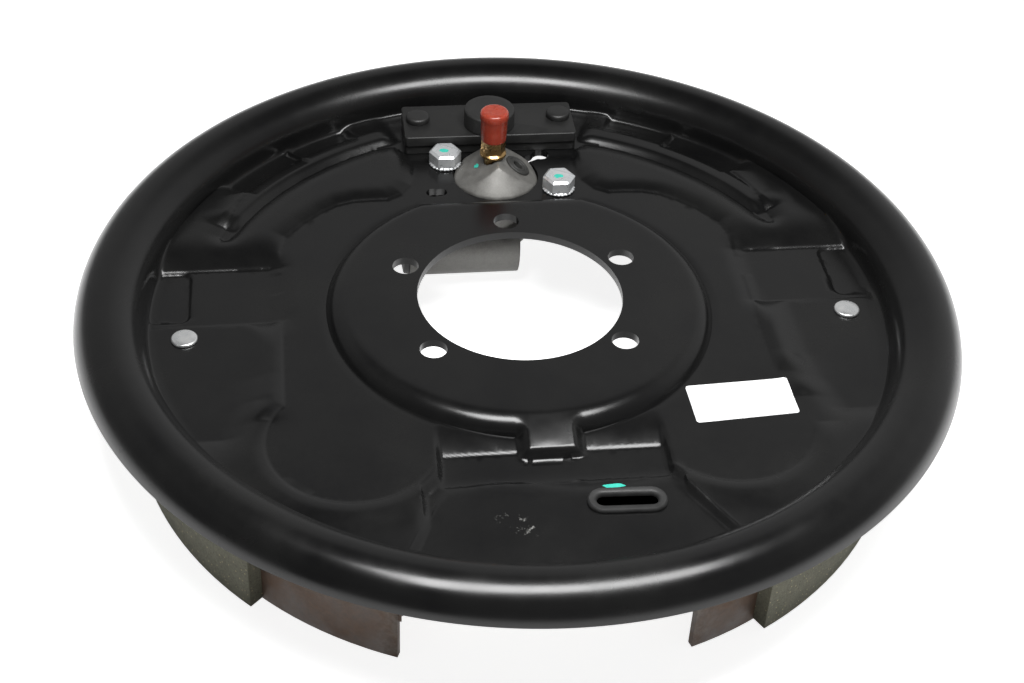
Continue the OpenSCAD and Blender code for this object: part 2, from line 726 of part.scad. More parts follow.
module web_outline(table, with_lug) {
    end = polar(web_edge_r, table[1]);
    difference() {
        intersection() {
            circle(web_edge_r);
            polygon([[horn_x, horn_y], [horn_x, anchor_y + 11.5], [26, 134], [lip_r, 134],
                     [lip_r, -lip_r], [end[0] - 1, -lip_r], [end[0] - 1, end[1] + 2],
                     [fork_x, -adj_y - 8], [fork_x, -adj_y + 8], [fork_x + 22, -adj_y + 24],
                     [46, 0], [46, horn_y]]);
        }
        difference() {
            translate([web_in_x, 0]) circle(web_in_r);
            if (with_lug) translate([lug_x, cyl_y - 7.5]) square([20, 15]);
        }
        if (with_lug) translate([lug_x - 10, cyl_y - 7.5]) square([10, 7.5 + push_rod_r + 1]);
        translate([0, anchor_y]) circle(post_r + web_gap);
        translate(spring_hole) circle(spring_hole_r);
        translate(adj_spring_hole) circle(spring_hole_r);
        translate([hold_x, -hold_y]) circle(hold_hole_r);
    }
}

module shoe(table, with_lug) {
    translate([0, 0, web_under]) linear_extrude(web_t) web_outline(table, with_lug);
    ring_sector(table_in_r, table_r, table[0], table[1], shoe_top - shoe_w, shoe_top);
}

module lining(span) {
    ring_sector(table_r, lining_r, span[0], span[1], shoe_mid - lining_w / 2, shoe_mid + lining_w / 2);
}

module primary_shoe() color([0.36, 0.27, 0.2]) mirror([1, 0, 0]) shoe(primary_table, true);
module primary_lining() color([0.5, 0.49, 0.42]) mirror([1, 0, 0]) lining(primary_lining_span);
module secondary_shoe() color([0.36, 0.27, 0.2]) shoe(secondary_table, false);
module secondary_lining() color([0.5, 0.49, 0.42]) lining(secondary_lining_span);

// Springs

// A close-wound coil along +X from the origin: one solid of revolution
module close_coil(length, coil_r, wire) {
    turns = floor(length / (0.92 * wire));
    pitch = length / turns;
    rotate([0, 90, 0]) rotate_extrude() {
        for (i = [0:turns]) translate([coil_r - wire / 2, i * pitch]) circle(wire / 2);
    }
    for (x = [0, length]) translate([x - 0.35 * wire, 0, 0]) rotate([0, 90, 0])
        cylinder(h = 0.7 * wire, r = coil_r - 0.6 * wire);
}

// A wire that leaves the spring's line at x and turns up through the web
module web_hook(x0, x1, wire, rise) {
    bar_x(x0, x1, wire / 2 - 0.05, 0, 0);
    translate([x1, 0, -wire / 2 - 0.1]) cylinder(h = rise + wire / 2 + 0.1, r = wire / 2);
}

module return_spring(z) {
    reach = norm(spring_hole - [0, anchor_y]) - (spring_hole_r - return_wire / 2 - hook_gap);
    eye_r = groove_r + 0.35 + return_wire / 2;
    coil_start = 22;
    coil_end = reach - 10;
    translate([0, anchor_y, z])
        rotate([0, 0, atan2(spring_hole[1] - anchor_y, spring_hole[0])]) {
            rotate_extrude() translate([eye_r, 0]) circle(return_wire / 2);
            bar_x(eye_r, coil_start, return_wire / 2 - 0.05, 0, 0);
            translate([coil_start, 0, 0]) close_coil(coil_end - coil_start, return_coil_r, return_wire);
            web_hook(coil_end, reach, return_wire, web_top + 1.5 - z);
        }
}

module secondary_return_spring() color([0.2, 0.35, 0.25])
    return_spring(return_top);
module primary_return_spring() color([0.2, 0.35, 0.25]) mirror([1, 0, 0])
    return_spring(return_low);

adj_spring_z = web_under - 0.6 - adj_coil_r;

module adjuster_spring() color([0.3, 0.3, 0.3]) translate([0, adj_spring_hole[1], adj_spring_z]) {
    half = adj_spring_hole[0] - (spring_hole_r - adj_wire / 2 - hook_gap);
    coil_half = half - 16;
    translate([-coil_half, 0, 0]) close_coil(2 * coil_half, adj_coil_r, adj_wire);
    web_hook(coil_half, half, adj_wire, web_top + 1.5 - adj_spring_z);
    mirror([1, 0, 0]) web_hook(coil_half, half, adj_wire, web_top + 1.5 - adj_spring_z);
}

// A coil spring as one tube along a helix
function helix_point(i, per_turn, pitch, r) = [r * cos(i * 360 / per_turn), r * sin(i * 360 / per_turn),
                                               i * pitch / per_turn];

module helix_spring(place, turn_y, length, r, wire, turns) {
    sides = 6;
    per_turn = 14;
    steps = turns * per_turn;
    pitch = (length - wire) / turns;
    points = [for (i = [0:steps]) for (k = [0:sides - 1])
        let (a = i * 360 / per_turn, b = k * 360 / sides,
             p = helix_point(i, per_turn, pitch, r - wire / 2),
             out = wire / 2 * cos(b), up = wire / 2 * sin(b))
        [p[0] + out * cos(a), p[1] + out * sin(a), p[2] + up + wire / 2]];
    faces = concat(
        [[for (k = [0:sides - 1]) k]],
        [for (i = [0:steps - 1]) for (k = [0:sides - 1])
            [i * sides + k, (i + 1) * sides + k, (i + 1) * sides + (k + 1) % sides,
             i * sides + (k + 1) % sides]],
        [[for (k = [sides - 1:-1:0]) steps * sides + k]]);
    translate(place) rotate([0, turn_y, 0]) polyhedron(points, faces, convexity = 4);
}

// Adjuster

module web_fork(x_deep, x_out) {
    x0 = min(x_deep, x_out);
    translate([x0, -adj_y - 12, shoe_mid - web_t / 2 - web_gap])
        cube([abs(x_out - x_deep), 24, web_t + 2 * web_gap]);
}

module adjuster_socket() color([0.5, 0.48, 0.42]) difference() {
    bar_x(socket_x, socket_end_x, adj_body_r, -adj_y, shoe_mid);
    bar_x(socket_x - over, socket_x + stub_len + 0.6, stub_r + adj_gap, -adj_y, shoe_mid);
    web_fork(fork_x - 0.4, socket_end_x + over);
}

module star_wheel_screw() color([0.55, 0.52, 0.45]) {
    root_r = star_r - 2.6;
    step = 360 / star_teeth;
    translate([star_x - star_t / 2, -adj_y, shoe_mid]) rotate([0, 90, 0]) linear_extrude(star_t)
        polygon([for (i = [0:star_teeth - 1]) for (c = [[root_r, -0.32], [star_r, -0.14], [star_r, 0.14], [root_r, 0.32]])
            [c[0] * cos((i + c[1]) * step), c[0] * sin((i + c[1]) * step)]]);
    bar_x(star_x, socket_x + stub_len, stub_r, -adj_y, shoe_mid);
    bar_x(-fork_x + 14, star_x, screw_r, -adj_y, shoe_mid);
}

module adjuster_nut() color([0.5, 0.48, 0.42]) difference() {
    bar_x(nut_left_x, nut_right_x, adj_body_r, -adj_y, shoe_mid);
    bar_x(-fork_x + 8, nut_right_x + over, screw_r + adj_gap, -adj_y, shoe_mid);
    web_fork(-fork_x + 0.4, nut_left_x - over);
}

module slot_plug() color([0.06, 0.06, 0.06]) translate([adj_slot[0], adj_slot[1], panel_top]) {
    flange_t = 1.6;
    stem = sheet_t + 1;
    difference() {
        union() {
            linear_extrude(flange_t) stadium(28.5, 12);
            translate([0, 0, -stem]) linear_extrude(stem + eps)
                stadium(adj_slot_size[0] - 0.4, adj_slot_size[1] - 0.4);
        }
        translate([0, 0, -stem + 1.2]) linear_extrude(stem + flange_t) stadium(21.4, 5.2);
    }
}

// Hold-downs

module hold_down_pins() color([0.85, 0.85, 0.85]) both_sides() translate([hold_x, -hold_y, 0]) {
    translate([0, 0, apron_top]) cylinder(h = hold_head_t, r = hold_head_r);
    translate([0, 0, hold_end]) cylinder(h = apron_top - hold_end + eps, r = hold_pin_r);
    translate([-hold_pin_r * 0.6, -4, hold_end]) cube([hold_pin_r * 1.2, 8, 1.4]);
}

module seat_washer() color([0.6, 0.6, 0.58]) translate([hold_x, -hold_y, web_under - 0.2 - seat_t])
    difference() {
        cylinder(h = seat_t, r = hold_cup_r);
        translate([0, 0, -over]) cylinder(h = seat_t + 2 * over, r = hold_pin_r + 0.3);
    }

module hold_down_seat_right() seat_washer();
module hold_down_seat_left() mirror([1, 0, 0]) seat_washer();

hold_spring_top = web_under - 0.3 - seat_t;
hold_spring_low = hold_end + 1.6 + cup_t;

module hold_spring() color([0.55, 0.55, 0.55])
    helix_spring([hold_x, -hold_y, hold_spring_low], 0, hold_spring_top - hold_spring_low,
                 hold_spring_r, hold_wire, 3);

module hold_down_spring_right() hold_spring();
module hold_down_spring_left() mirror([1, 0, 0]) hold_spring();

module hold_cup() color([0.65, 0.65, 0.62])
    translate([hold_x, -hold_y, hold_end + 1.5]) rotate_extrude() difference() {
        polygon([[hold_pin_r + 0.5, 0], [hold_cup_r - 1, 0], [hold_cup_r, cup_depth],
                 [hold_cup_r - cup_t, cup_depth], [hold_cup_r - 1 - cup_t, cup_t], [hold_pin_r + 0.5, cup_t]]);
    }

module hold_down_cup_right() hold_cup();
module hold_down_cup_left() mirror([1, 0, 0]) hold_cup();

backing_plate();
anchor_plate();
anchor_backup_plate();
anchor_rivets();
anchor_post();
shoe_guide_plate();
cylinder_body();
cylinder_bolts();
cylinder_piston();
piston_cup();
cylinder_spring();
dust_boot();
push_rod();
bleeder_screw();
bleeder_cap();
inlet_plug();
primary_shoe();
primary_lining();
secondary_shoe();
secondary_lining();
primary_return_spring();
secondary_return_spring();
adjuster_socket();
star_wheel_screw();
adjuster_nut();
adjuster_spring();
slot_plug();
hold_down_pins();
hold_down_seat_left();
hold_down_seat_right();
hold_down_spring_left();
hold_down_spring_right();
hold_down_cup_left();
hold_down_cup_right();
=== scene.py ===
import math
import random

import bmesh
import bpy
from mathutils import Matrix, Vector


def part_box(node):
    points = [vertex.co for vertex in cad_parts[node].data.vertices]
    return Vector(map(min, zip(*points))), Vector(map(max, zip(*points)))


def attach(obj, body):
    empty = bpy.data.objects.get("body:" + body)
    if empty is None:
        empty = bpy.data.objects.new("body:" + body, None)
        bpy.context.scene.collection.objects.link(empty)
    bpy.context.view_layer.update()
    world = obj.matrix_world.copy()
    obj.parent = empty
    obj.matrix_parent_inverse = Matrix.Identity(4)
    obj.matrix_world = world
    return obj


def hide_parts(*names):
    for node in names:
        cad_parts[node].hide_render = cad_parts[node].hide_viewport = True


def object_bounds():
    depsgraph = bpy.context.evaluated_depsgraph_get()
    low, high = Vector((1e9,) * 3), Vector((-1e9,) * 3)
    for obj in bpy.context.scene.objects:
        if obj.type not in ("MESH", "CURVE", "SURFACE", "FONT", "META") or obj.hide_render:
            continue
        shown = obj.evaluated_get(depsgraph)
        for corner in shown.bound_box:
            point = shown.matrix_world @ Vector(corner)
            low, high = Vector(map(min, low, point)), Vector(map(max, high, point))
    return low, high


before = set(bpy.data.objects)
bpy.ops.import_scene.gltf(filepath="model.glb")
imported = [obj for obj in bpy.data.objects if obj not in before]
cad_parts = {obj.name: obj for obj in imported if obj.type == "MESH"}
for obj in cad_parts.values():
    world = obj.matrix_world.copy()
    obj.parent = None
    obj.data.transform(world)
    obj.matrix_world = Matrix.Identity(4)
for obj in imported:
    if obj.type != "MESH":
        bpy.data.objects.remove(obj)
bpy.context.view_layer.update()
mm = 0.001
scene = bpy.context.scene
scene.view_settings.view_transform = "Standard"


# shader helpers

def newMaterial(name):
    material = bpy.data.materials.new(name)
    material.use_nodes = True
    material.node_tree.nodes.clear()
    return material


def addNode(tree, kind, **values):
    node = tree.nodes.new(kind)
    for key, value in values.items():
        setattr(node, key, value)
    return node


def fill(node, **values):
    for key, value in values.items():
        node.inputs[key.replace("_", " ")].default_value = value
    return node


def link(links, source, output, target, entry):
    links.new(source.outputs[output], target.inputs[entry])


def makeGroup(name, inputs, outputs):
    group = bpy.data.node_groups.new(name, "ShaderNodeTree")
    for label, kind, value in inputs:
        socket = group.interface.new_socket(name=label, in_out="INPUT", socket_type=kind)
        if value is not None:
            socket.default_value = value
    for label, kind in outputs:
        group.interface.new_socket(name=label, in_out="OUTPUT", socket_type=kind)
    return group, addNode(group, "NodeGroupInput"), addNode(group, "NodeGroupOutput")


def placeGroup(tree, group, **values):
    node = addNode(tree, "ShaderNodeGroup")
    node.node_tree = group
    return fill(node, **values)


# colour that drifts between two tones, with a fine grain and a bump height
def makeMottle():
    group, gin, gout = makeGroup(
        "mottle",
        [("Tone A", "NodeSocketColor", (0.1, 0.1, 0.1, 1)), ("Tone B", "NodeSocketColor", (0.2, 0.2, 0.2, 1)),
         ("Patch Scale", "NodeSocketFloat", 60.0), ("Grain Scale", "NodeSocketFloat", 900.0),
         ("Grain Mix", "NodeSocketFloat", 0.3)],
        [("Color", "NodeSocketColor"), ("Patch", "NodeSocketFloat"), ("Grain", "NodeSocketFloat")])
    links = group.links
    place = addNode(group, "ShaderNodeTexCoord")
    patch = fill(addNode(group, "ShaderNodeTexNoise"), Detail=4.0, Roughness=0.6)
    grain = fill(addNode(group, "ShaderNodeTexNoise"), Detail=3.0, Roughness=0.65)
    blend = addNode(group, "ShaderNodeMath", operation="MULTIPLY")
    rest = addNode(group, "ShaderNodeMath", operation="SUBTRACT")
    rest.inputs[0].default_value = 1.0
    keep = addNode(group, "ShaderNodeMath", operation="MULTIPLY")
    total = addNode(group, "ShaderNodeMath", operation="ADD")
    spread = fill(addNode(group, "ShaderNodeMapRange"))
    spread.inputs["From Min"].default_value = 0.33
    spread.inputs["From Max"].default_value = 0.67
    tint = addNode(group, "ShaderNodeMix", data_type="RGBA")
    link(links, place, "Object", patch, "Vector")
    link(links, place, "Object", grain, "Vector")
    link(links, gin, "Patch Scale", patch, "Scale")
    link(links, gin, "Grain Scale", grain, "Scale")
    link(links, grain, "Fac", blend, 0)
    link(links, gin, "Grain Mix", blend, 1)
    link(links, gin, "Grain Mix", rest, 1)
    link(links, patch, "Fac", keep, 0)
    link(links, rest, 0, keep, 1)
    link(links, blend, 0, total, 0)
    link(links, keep, 0, total, 1)
    link(links, total, 0, spread, "Value")
    link(links, spread, 0, tint, "Factor")
    link(links, gin, "Tone A", tint, 6)
    link(links, gin, "Tone B", tint, 7)
    link(links, tint, 2, gout, "Color")
    link(links, patch, "Fac", gout, "Patch")
    link(links, grain, "Fac", gout, "Grain")
    return group


# mask of convex edges that rubbing has bared, broken up by noise
def makeEdgeRub():
    group, gin, gout = makeGroup(
        "edgeRub",
        [("Start", "NodeSocketFloat", 0.55), ("End", "NodeSocketFloat", 0.62),
         ("Break Scale", "NodeSocketFloat", 350.0), ("Amount", "NodeSocketFloat", 1.0)],
        [("Mask", "NodeSocketFloat")])
    links = group.links
    place = addNode(group, "ShaderNodeTexCoord")
    shape = addNode(group, "ShaderNodeNewGeometry")
    edge = addNode(group, "ShaderNodeMapRange", interpolation_type="SMOOTHSTEP")
    breakup = fill(addNode(group, "ShaderNodeTexNoise"), Detail=5.0, Roughness=0.7)
    cut = addNode(group, "ShaderNodeMapRange")
    cut.inputs["From Min"].default_value = 0.42
    cut.inputs["From Max"].default_value = 0.6
    both = addNode(group, "ShaderNodeMath", operation="MULTIPLY")
    scaled = addNode(group, "ShaderNodeMath", operation="MULTIPLY", use_clamp=True)
    link(links, shape, "Pointiness", edge, "Value")
    link(links, gin, "Start", edge, "From Min")
    link(links, gin, "End", edge, "From Max")
    link(links, place, "Object", breakup, "Vector")
    link(links, gin, "Break Scale", breakup, "Scale")
    link(links, breakup, "Fac", cut, "Value")
    link(links, edge, 0, both, 0)
    link(links, cut, 0, both, 1)
    link(links, both, 0, scaled, 0)
    link(links, gin, "Amount", scaled, 1)
    link(links, scaled, 0, gout, "Mask")
    return group


# mask that is 1 near a place and broken into short marks, used for scuffs and for a dotted painted highlight
def makeScuffAndHighlight():
    group, gin, gout = makeGroup(
        "scuffAndHighlight",
        [("Centre", "NodeSocketVector", (0, 0, 0)), ("Turn", "NodeSocketVector", (0, 0, 0)),
         ("Stretch", "NodeSocketVector", (60, 60, 60)), ("Mark Scale", "NodeSocketFloat", 400.0),
         ("Threshold", "NodeSocketFloat", 0.6)],
        [("Mask", "NodeSocketFloat")])
    links = group.links
    place = addNode(group, "ShaderNodeTexCoord")
    shift = addNode(group, "ShaderNodeVectorMath", operation="SUBTRACT")
    turn = addNode(group, "ShaderNodeVectorRotate", rotation_type="EULER_XYZ")
    squeeze = addNode(group, "ShaderNodeVectorMath", operation="MULTIPLY")
    far = addNode(group, "ShaderNodeVectorMath", operation="LENGTH")
    near = addNode(group, "ShaderNodeMapRange", interpolation_type="SMOOTHSTEP")
    near.inputs["From Min"].default_value = 1.0
    near.inputs["From Max"].default_value = 0.35
    marks = fill(addNode(group, "ShaderNodeTexNoise"), Detail=6.0, Roughness=0.75)
    over = addNode(group, "ShaderNodeMath", operation="GREATER_THAN")
    both = addNode(group, "ShaderNodeMath", operation="MULTIPLY")
    link(links, place, "Object", shift, 0)
    link(links, gin, "Centre", shift, 1)
    link(links, shift, 0, turn, "Vector")
    link(links, gin, "Turn", turn, "Rotation")
    link(links, turn, 0, squeeze, 0)
    link(links, gin, "Stretch", squeeze, 1)
    link(links, squeeze, 0, far, 0)
    link(links, far, "Value", near, "Value")
    link(links, turn, 0, marks, "Vector")
    link(links, gin, "Mark Scale", marks, "Scale")
    link(links, marks, "Fac", over, 0)
    link(links, gin, "Threshold", over, 1)
    link(links, near, 0, both, 0)
    link(links, over, 0, both, 1)
    link(links, both, 0, gout, "Mask")
    return group


mottle = makeMottle()
edgeRub = makeEdgeRub()
scuffAndHighlight = makeScuffAndHighlight()


def finishSurface(material, shader):
    out = addNode(material.node_tree, "ShaderNodeOutputMaterial")
    link(material.node_tree.links, shader, 0, out, "Surface")
    return material


# one surface finish: two tones, roughness range, grain bump and rubbed edges, plus lighter marks that are
# scuffs and, on the plate, a painted highlight
def makeFinish(name, toneA, toneB, metallic=0.0, rough=(0.4, 0.5), patch=60.0, grain=900.0, grainMix=0.3,
               bump=0.1, bumpDepth=0.02, rub=0.0, wearAndHighlightTone=(0.3, 0.3, 0.3), coat=0.0, specular=0.5,
               subsurface=0.0, rubRange=(0.53, 0.6), scuffsAndHighlights=()):
    material = newMaterial(name)
    tree = material.node_tree
    links = tree.links
    tone = placeGroup(tree, mottle, Tone_A=(*toneA, 1), Tone_B=(*toneB, 1), Patch_Scale=patch,
                      Grain_Scale=grain, Grain_Mix=grainMix)
    shader = addNode(tree, "ShaderNodeBsdfPrincipled")
    fill(shader, Metallic=metallic, Coat_Weight=coat)
    shader.inputs["Specular IOR Level"].default_value = specular
    shader.inputs["Coat Roughness"].default_value = 0.12
    shader.inputs["Subsurface Weight"].default_value = subsurface
    shader.inputs["Subsurface Scale"].default_value = 2 * mm
    roughness = addNode(tree, "ShaderNodeMapRange")
    fill(roughness, From_Min=0.35, From_Max=0.65, To_Min=rough[0], To_Max=rough[1])
    lift = addNode(tree, "ShaderNodeBump")
    fill(lift, Strength=bump, Distance=bumpDepth * mm)
    link(links, tone, "Patch", roughness, "Value")
    link(links, tone, "Grain", lift, "Height")
    link(links, lift, 0, shader, "Normal")
    colour = tone.outputs["Color"]
    roughOut = roughness.outputs[0]
    masks = []
    if rub > 0:
        wearAndHighlightMask = placeGroup(tree, edgeRub, Amount=rub)
        wearAndHighlightMask.inputs["Start"].default_value = rubRange[0]
        wearAndHighlightMask.inputs["End"].default_value = rubRange[1]
        masks.append(wearAndHighlightMask.outputs["Mask"])
    for mark in scuffsAndHighlights:
        wearAndHighlightMask = placeGroup(tree, scuffAndHighlight, Centre=mark["centre"], Turn=mark["turn"], Stretch=mark["stretch"],
                          Mark_Scale=mark["scale"], Threshold=mark["threshold"])
        masks.append(wearAndHighlightMask.outputs["Mask"])
    if masks:
        total = masks[0]
        for mask in masks[1:]:
            join = addNode(tree, "ShaderNodeMath", operation="MAXIMUM")
            links.new(total, join.inputs[0])
            links.new(mask, join.inputs[1])
            total = join.outputs[0]
        wearAndHighlightMix = addNode(tree, "ShaderNodeMix", data_type="RGBA")
        wearAndHighlightMix.inputs[7].default_value = (*wearAndHighlightTone, 1)
        links.new(total, wearAndHighlightMix.inputs["Factor"])
        links.new(colour, wearAndHighlightMix.inputs[6])
        colour = wearAndHighlightMix.outputs[2]
    links.new(colour, shader.inputs["Base Color"])
    links.new(roughOut, shader.inputs["Roughness"])
    return finishSurface(material, shader)


# mesh helpers; every shape is made in millimetres and scaled once

def newPiece(name, bm, material, body, nodes=(), angle=35, turnOut=True):
    bmesh.ops.remove_doubles(bm, verts=bm.verts, dist=1e-4)
    if turnOut:
        bmesh.ops.recalc_face_normals(bm, faces=bm.faces)
    bmesh.ops.scale(bm, vec=(mm, mm, mm), verts=bm.verts)
    limit = math.radians(angle)
    for edge in bm.edges:
        edge.smooth = len(edge.link_faces) == 2 and edge.calc_face_angle(0) < limit
    for face in bm.faces:
        face.smooth = True
    mesh = bpy.data.meshes.new(name)
    bm.to_mesh(mesh)
    bm.free()
    piece = bpy.data.objects.new(name, mesh)
    scene.collection.objects.link(piece)
    mesh.materials.append(material)
    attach(piece, body)
    if nodes:
        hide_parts(*nodes)
    return piece


# a section of (radius, height) pairs turned about Z
def spinSection(bm, points, segments=64, close=True):
    verts = [bm.verts.new((r, 0, z)) for r, z in points]
    edges = [bm.edges.new(pair) for pair in zip(verts, verts[1:])]
    if close:
        edges.append(bm.edges.new((verts[-1], verts[0])))
    bmesh.ops.spin(bm, geom=verts + edges, cent=(0, 0, 0), axis=(0, 0, 1), angle=2 * math.pi, steps=segments,
                   use_merge=True)
    bmesh.ops.remove_doubles(bm, verts=bm.verts, dist=1e-4)
    return bm


# points along an arc of a section, from one angle to another in degrees
def arcPoints(cx, cz, r, start, end, steps):
    return [(cx + r * math.cos(math.radians(start + (end - start) * i / steps)),
             cz + r * math.sin(math.radians(start + (end - start) * i / steps))) for i in range(steps + 1)]


def softBevel(bm, edges, width, segments=3):
    bmesh.ops.bevel(bm, geom=edges, offset=width, offset_type="OFFSET", segments=segments, profile=0.5,
                    affect="EDGES", clamp_overlap=True, material=-1)


def sharpEdges(bm, degrees=30):
    return [e for e in bm.edges if len(e.link_faces) == 2 and e.calc_face_angle(0) > math.radians(degrees)]


def moveAll(bm, x, y, z):
    bmesh.ops.translate(bm, vec=(x, y, z), verts=bm.verts)
    return bm


def turnAll(bm, degrees, axis):
    bmesh.ops.rotate(bm, cent=(0, 0, 0), matrix=Matrix.Rotation(math.radians(degrees), 3, axis), verts=bm.verts)


def joinInto(target, other):
    mesh = bpy.data.meshes.new("part")
    other.to_mesh(mesh)
    other.free()
    target.from_mesh(mesh)
    bpy.data.meshes.remove(mesh)


# finishes

blackPaint = dict(toneA=(0.0035, 0.0035, 0.0037), toneB=(0.0065, 0.0065, 0.0063))
plateFinish = makeFinish(
    "platePaint", **blackPaint, rough=(0.20, 0.29), patch=25.0, grain=700.0, grainMix=0.25, bump=0.22,
    bumpDepth=0.03, specular=0.42, rub=0.0, wearAndHighlightTone=(0.22, 0.22, 0.21),
    scuffsAndHighlights=(dict(centre=(-0.0145, -0.1165, -0.008), turn=(0, 0, 0.5), stretch=(95, 190, 60), scale=330.0,
                 threshold=0.62),
            # painted highlight: a dotted light line along the right inner lip crest stands in for the crest's
            # broken highlight, mixed with a few real paint chips
            dict(centre=(0.146, -0.045, -0.002), turn=(0, 0, 0.25), stretch=(260, 28, 90), scale=800.0,
                 threshold=0.6)))
barFinish = makeFinish("anchorBarPaint", toneA=(0.008, 0.008, 0.008), toneB=(0.013, 0.013, 0.0125),
                       rough=(0.42, 0.55), patch=120.0, grain=1500.0, bump=0.25, bumpDepth=0.03, rub=0.25,
                       wearAndHighlightTone=(0.10, 0.10, 0.095))
backupFinish = makeFinish("backupBarPaint", toneA=(0.008, 0.008, 0.008), toneB=(0.013, 0.013, 0.0125),
                          rough=(0.4, 0.5), patch=120.0, grain=1500.0, bump=0.25, bumpDepth=0.03, rub=0.25,
                          wearAndHighlightTone=(0.10, 0.10, 0.095))
rivetFinish = makeFinish("rivetPaint", toneA=(0.010, 0.010, 0.010), toneB=(0.016, 0.016, 0.0155),
                         rough=(0.40, 0.52), patch=160.0, grain=1500.0, bump=0.25, bumpDepth=0.03)
postFinish = makeFinish("postPaint", toneA=(0.011, 0.011, 0.011), toneB=(0.018, 0.018, 0.0175),
                        rough=(0.5, 0.6), patch=120.0, grain=1400.0, bump=0.3, bumpDepth=0.04)
castFinish = makeFinish("castAluminium", toneA=(0.11, 0.107, 0.10), toneB=(0.20, 0.197, 0.185),
                        metallic=0.4, rough=(0.45, 0.6), patch=260.0, grain=2200.0, grainMix=0.45, bump=0.35,
                        bumpDepth=0.06)
zincFinish = makeFinish("brightZinc", toneA=(0.58, 0.60, 0.61), toneB=(0.72, 0.73, 0.74), metallic=0.6,
                        rough=(0.25, 0.38), patch=300.0, grain=1800.0, bump=0.08, bumpDepth=0.02)
pinFinish = makeFinish("pinZinc", toneA=(0.72, 0.74, 0.75), toneB=(0.88, 0.88, 0.87), metallic=0.85,
                       rough=(0.25, 0.38), patch=300.0, grain=1800.0, bump=0.1, bumpDepth=0.02)
brassFinish = makeFinish("bleederBrass", toneA=(0.45, 0.27, 0.10), toneB=(0.62, 0.42, 0.19), metallic=1.0,
                         rough=(0.24, 0.36), patch=300.0, grain=1500.0, bump=0.08, bumpDepth=0.02)
capFinish = makeFinish("redVinylCap", toneA=(0.26, 0.035, 0.018), toneB=(0.33, 0.05, 0.028),
                       rough=(0.26, 0.36), patch=200.0, grain=1200.0, bump=0.12, bumpDepth=0.03,
                       subsurface=0.25)
plugFinish = makeFinish("greyPlug", toneA=(0.016, 0.016, 0.015), toneB=(0.035, 0.035, 0.033),
                        rough=(0.55, 0.65), patch=400.0, grain=2400.0, bump=0.2, bumpDepth=0.03)
rubberFinish = makeFinish("slotRubber", toneA=(0.012, 0.012, 0.012), toneB=(0.02, 0.02, 0.02),
                          rough=(0.5, 0.62), patch=300.0, grain=2000.0, bump=0.25, bumpDepth=0.04)
bootFinish = makeFinish("bootRubber", toneA=(0.012, 0.012, 0.012), toneB=(0.022, 0.022, 0.021),
                        rough=(0.55, 0.68), patch=300.0, grain=2000.0, bump=0.25, bumpDepth=0.04)
cupFinish = makeFinish("cupRubber", toneA=(0.012, 0.012, 0.012), toneB=(0.02, 0.02, 0.02),
                       rough=(0.4, 0.5), patch=300.0, grain=2000.0, bump=0.15, bumpDepth=0.02)
greenFinish = makeFinish("greenPaintDab", toneA=(0.02, 0.38, 0.29), toneB=(0.05, 0.50, 0.40),
                         rough=(0.3, 0.42), patch=500.0, grain=2000.0, bump=0.2, bumpDepth=0.05)
stickerFinish = makeFinish("whiteSticker", toneA=(0.80, 0.80, 0.81), toneB=(0.88, 0.88, 0.88),
                           rough=(0.3, 0.4), patch=120.0, grain=900.0, bump=0.06, bumpDepth=0.02)


def shoeMaterials(side):
    primer = makeFinish(side + "Primer", toneA=(0.035, 0.020, 0.012), toneB=(0.105, 0.056, 0.030),
                        rough=(0.45, 0.7), patch=70.0, grain=500.0, grainMix=0.35, bump=0.4, bumpDepth=0.12,
                        rub=0.5, wearAndHighlightTone=(0.20, 0.17, 0.14))
    friction = newMaterial(side + "Friction")
    tree = friction.node_tree
    links = tree.links
    place = addNode(tree, "ShaderNodeTexCoord")
    base = placeGroup(tree, mottle, Tone_A=(0.095, 0.095, 0.066, 1), Tone_B=(0.20, 0.195, 0.145, 1),
                      Patch_Scale=130.0, Grain_Scale=1100.0, Grain_Mix=0.6)
    flecks = addNode(tree, "ShaderNodeTexVoronoi", feature="F1")
    fill(flecks, Scale=750.0, Randomness=1.0)
    dark = addNode(tree, "ShaderNodeMapRange")
    fill(dark, From_Min=0.12, From_Max=0.2, To_Min=1.0, To_Max=0.0)
    mixDark = addNode(tree, "ShaderNodeMix", data_type="RGBA")
    mixDark.inputs[7].default_value = (0.055, 0.055, 0.045, 1)
    glints = addNode(tree, "ShaderNodeTexVoronoi", feature="F1")
    fill(glints, Scale=480.0, Randomness=1.0)
    bright = addNode(tree, "ShaderNodeMapRange")
    fill(bright, From_Min=0.11, From_Max=0.17, To_Min=0.9, To_Max=0.0)
    mixBright = addNode(tree, "ShaderNodeMix", data_type="RGBA")
    mixBright.inputs[7].default_value = (0.50, 0.44, 0.27, 1)
    shader = addNode(tree, "ShaderNodeBsdfPrincipled")
    fill(shader, Roughness=0.82)
    lift = addNode(tree, "ShaderNodeBump")
    fill(lift, Strength=0.5, Distance=0.15 * mm)
    link(links, place, "Object", flecks, "Vector")
    link(links, place, "Object", glints, "Vector")
    link(links, flecks, "Distance", dark, "Value")
    link(links, glints, "Distance", bright, "Value")
    link(links, base, "Color", mixDark, 6)
    link(links, dark, 0, mixDark, "Factor")
    link(links, mixDark, 2, mixBright, 6)
    link(links, bright, 0, mixBright, "Factor")
    link(links, mixBright, 2, shader, "Base Color")
    link(links, base, "Grain", lift, "Height")
    link(links, lift, 0, shader, "Normal")
    return primer, finishSurface(friction, shader)


print("finishes made")


# the pressed plate: a spun sheet that the die raises and sinks, refined where its height bends

plate = dict(bore=40.0, lipRadius=157.0, lipSection=13.0, lipHeight=-2.3, cutAngle=12.0, sheet=3.2, pan=-5.0,
             foot=75.0, shoulder=8.0, flat=66.7, foldRadius=1.9, segments=360, ringStep=3.0,
             raised=2.0, terrace=2.6, padFloor=-7.1, padInner=93.0, padTop=30.5, padLow=-3.0,
             seat=0.9, seatInner=127.5, apron=-6.8, strip=-7.4, groove=-8.3, sector=-6.9,
             bendLimit=0.03, shortest=1.0)
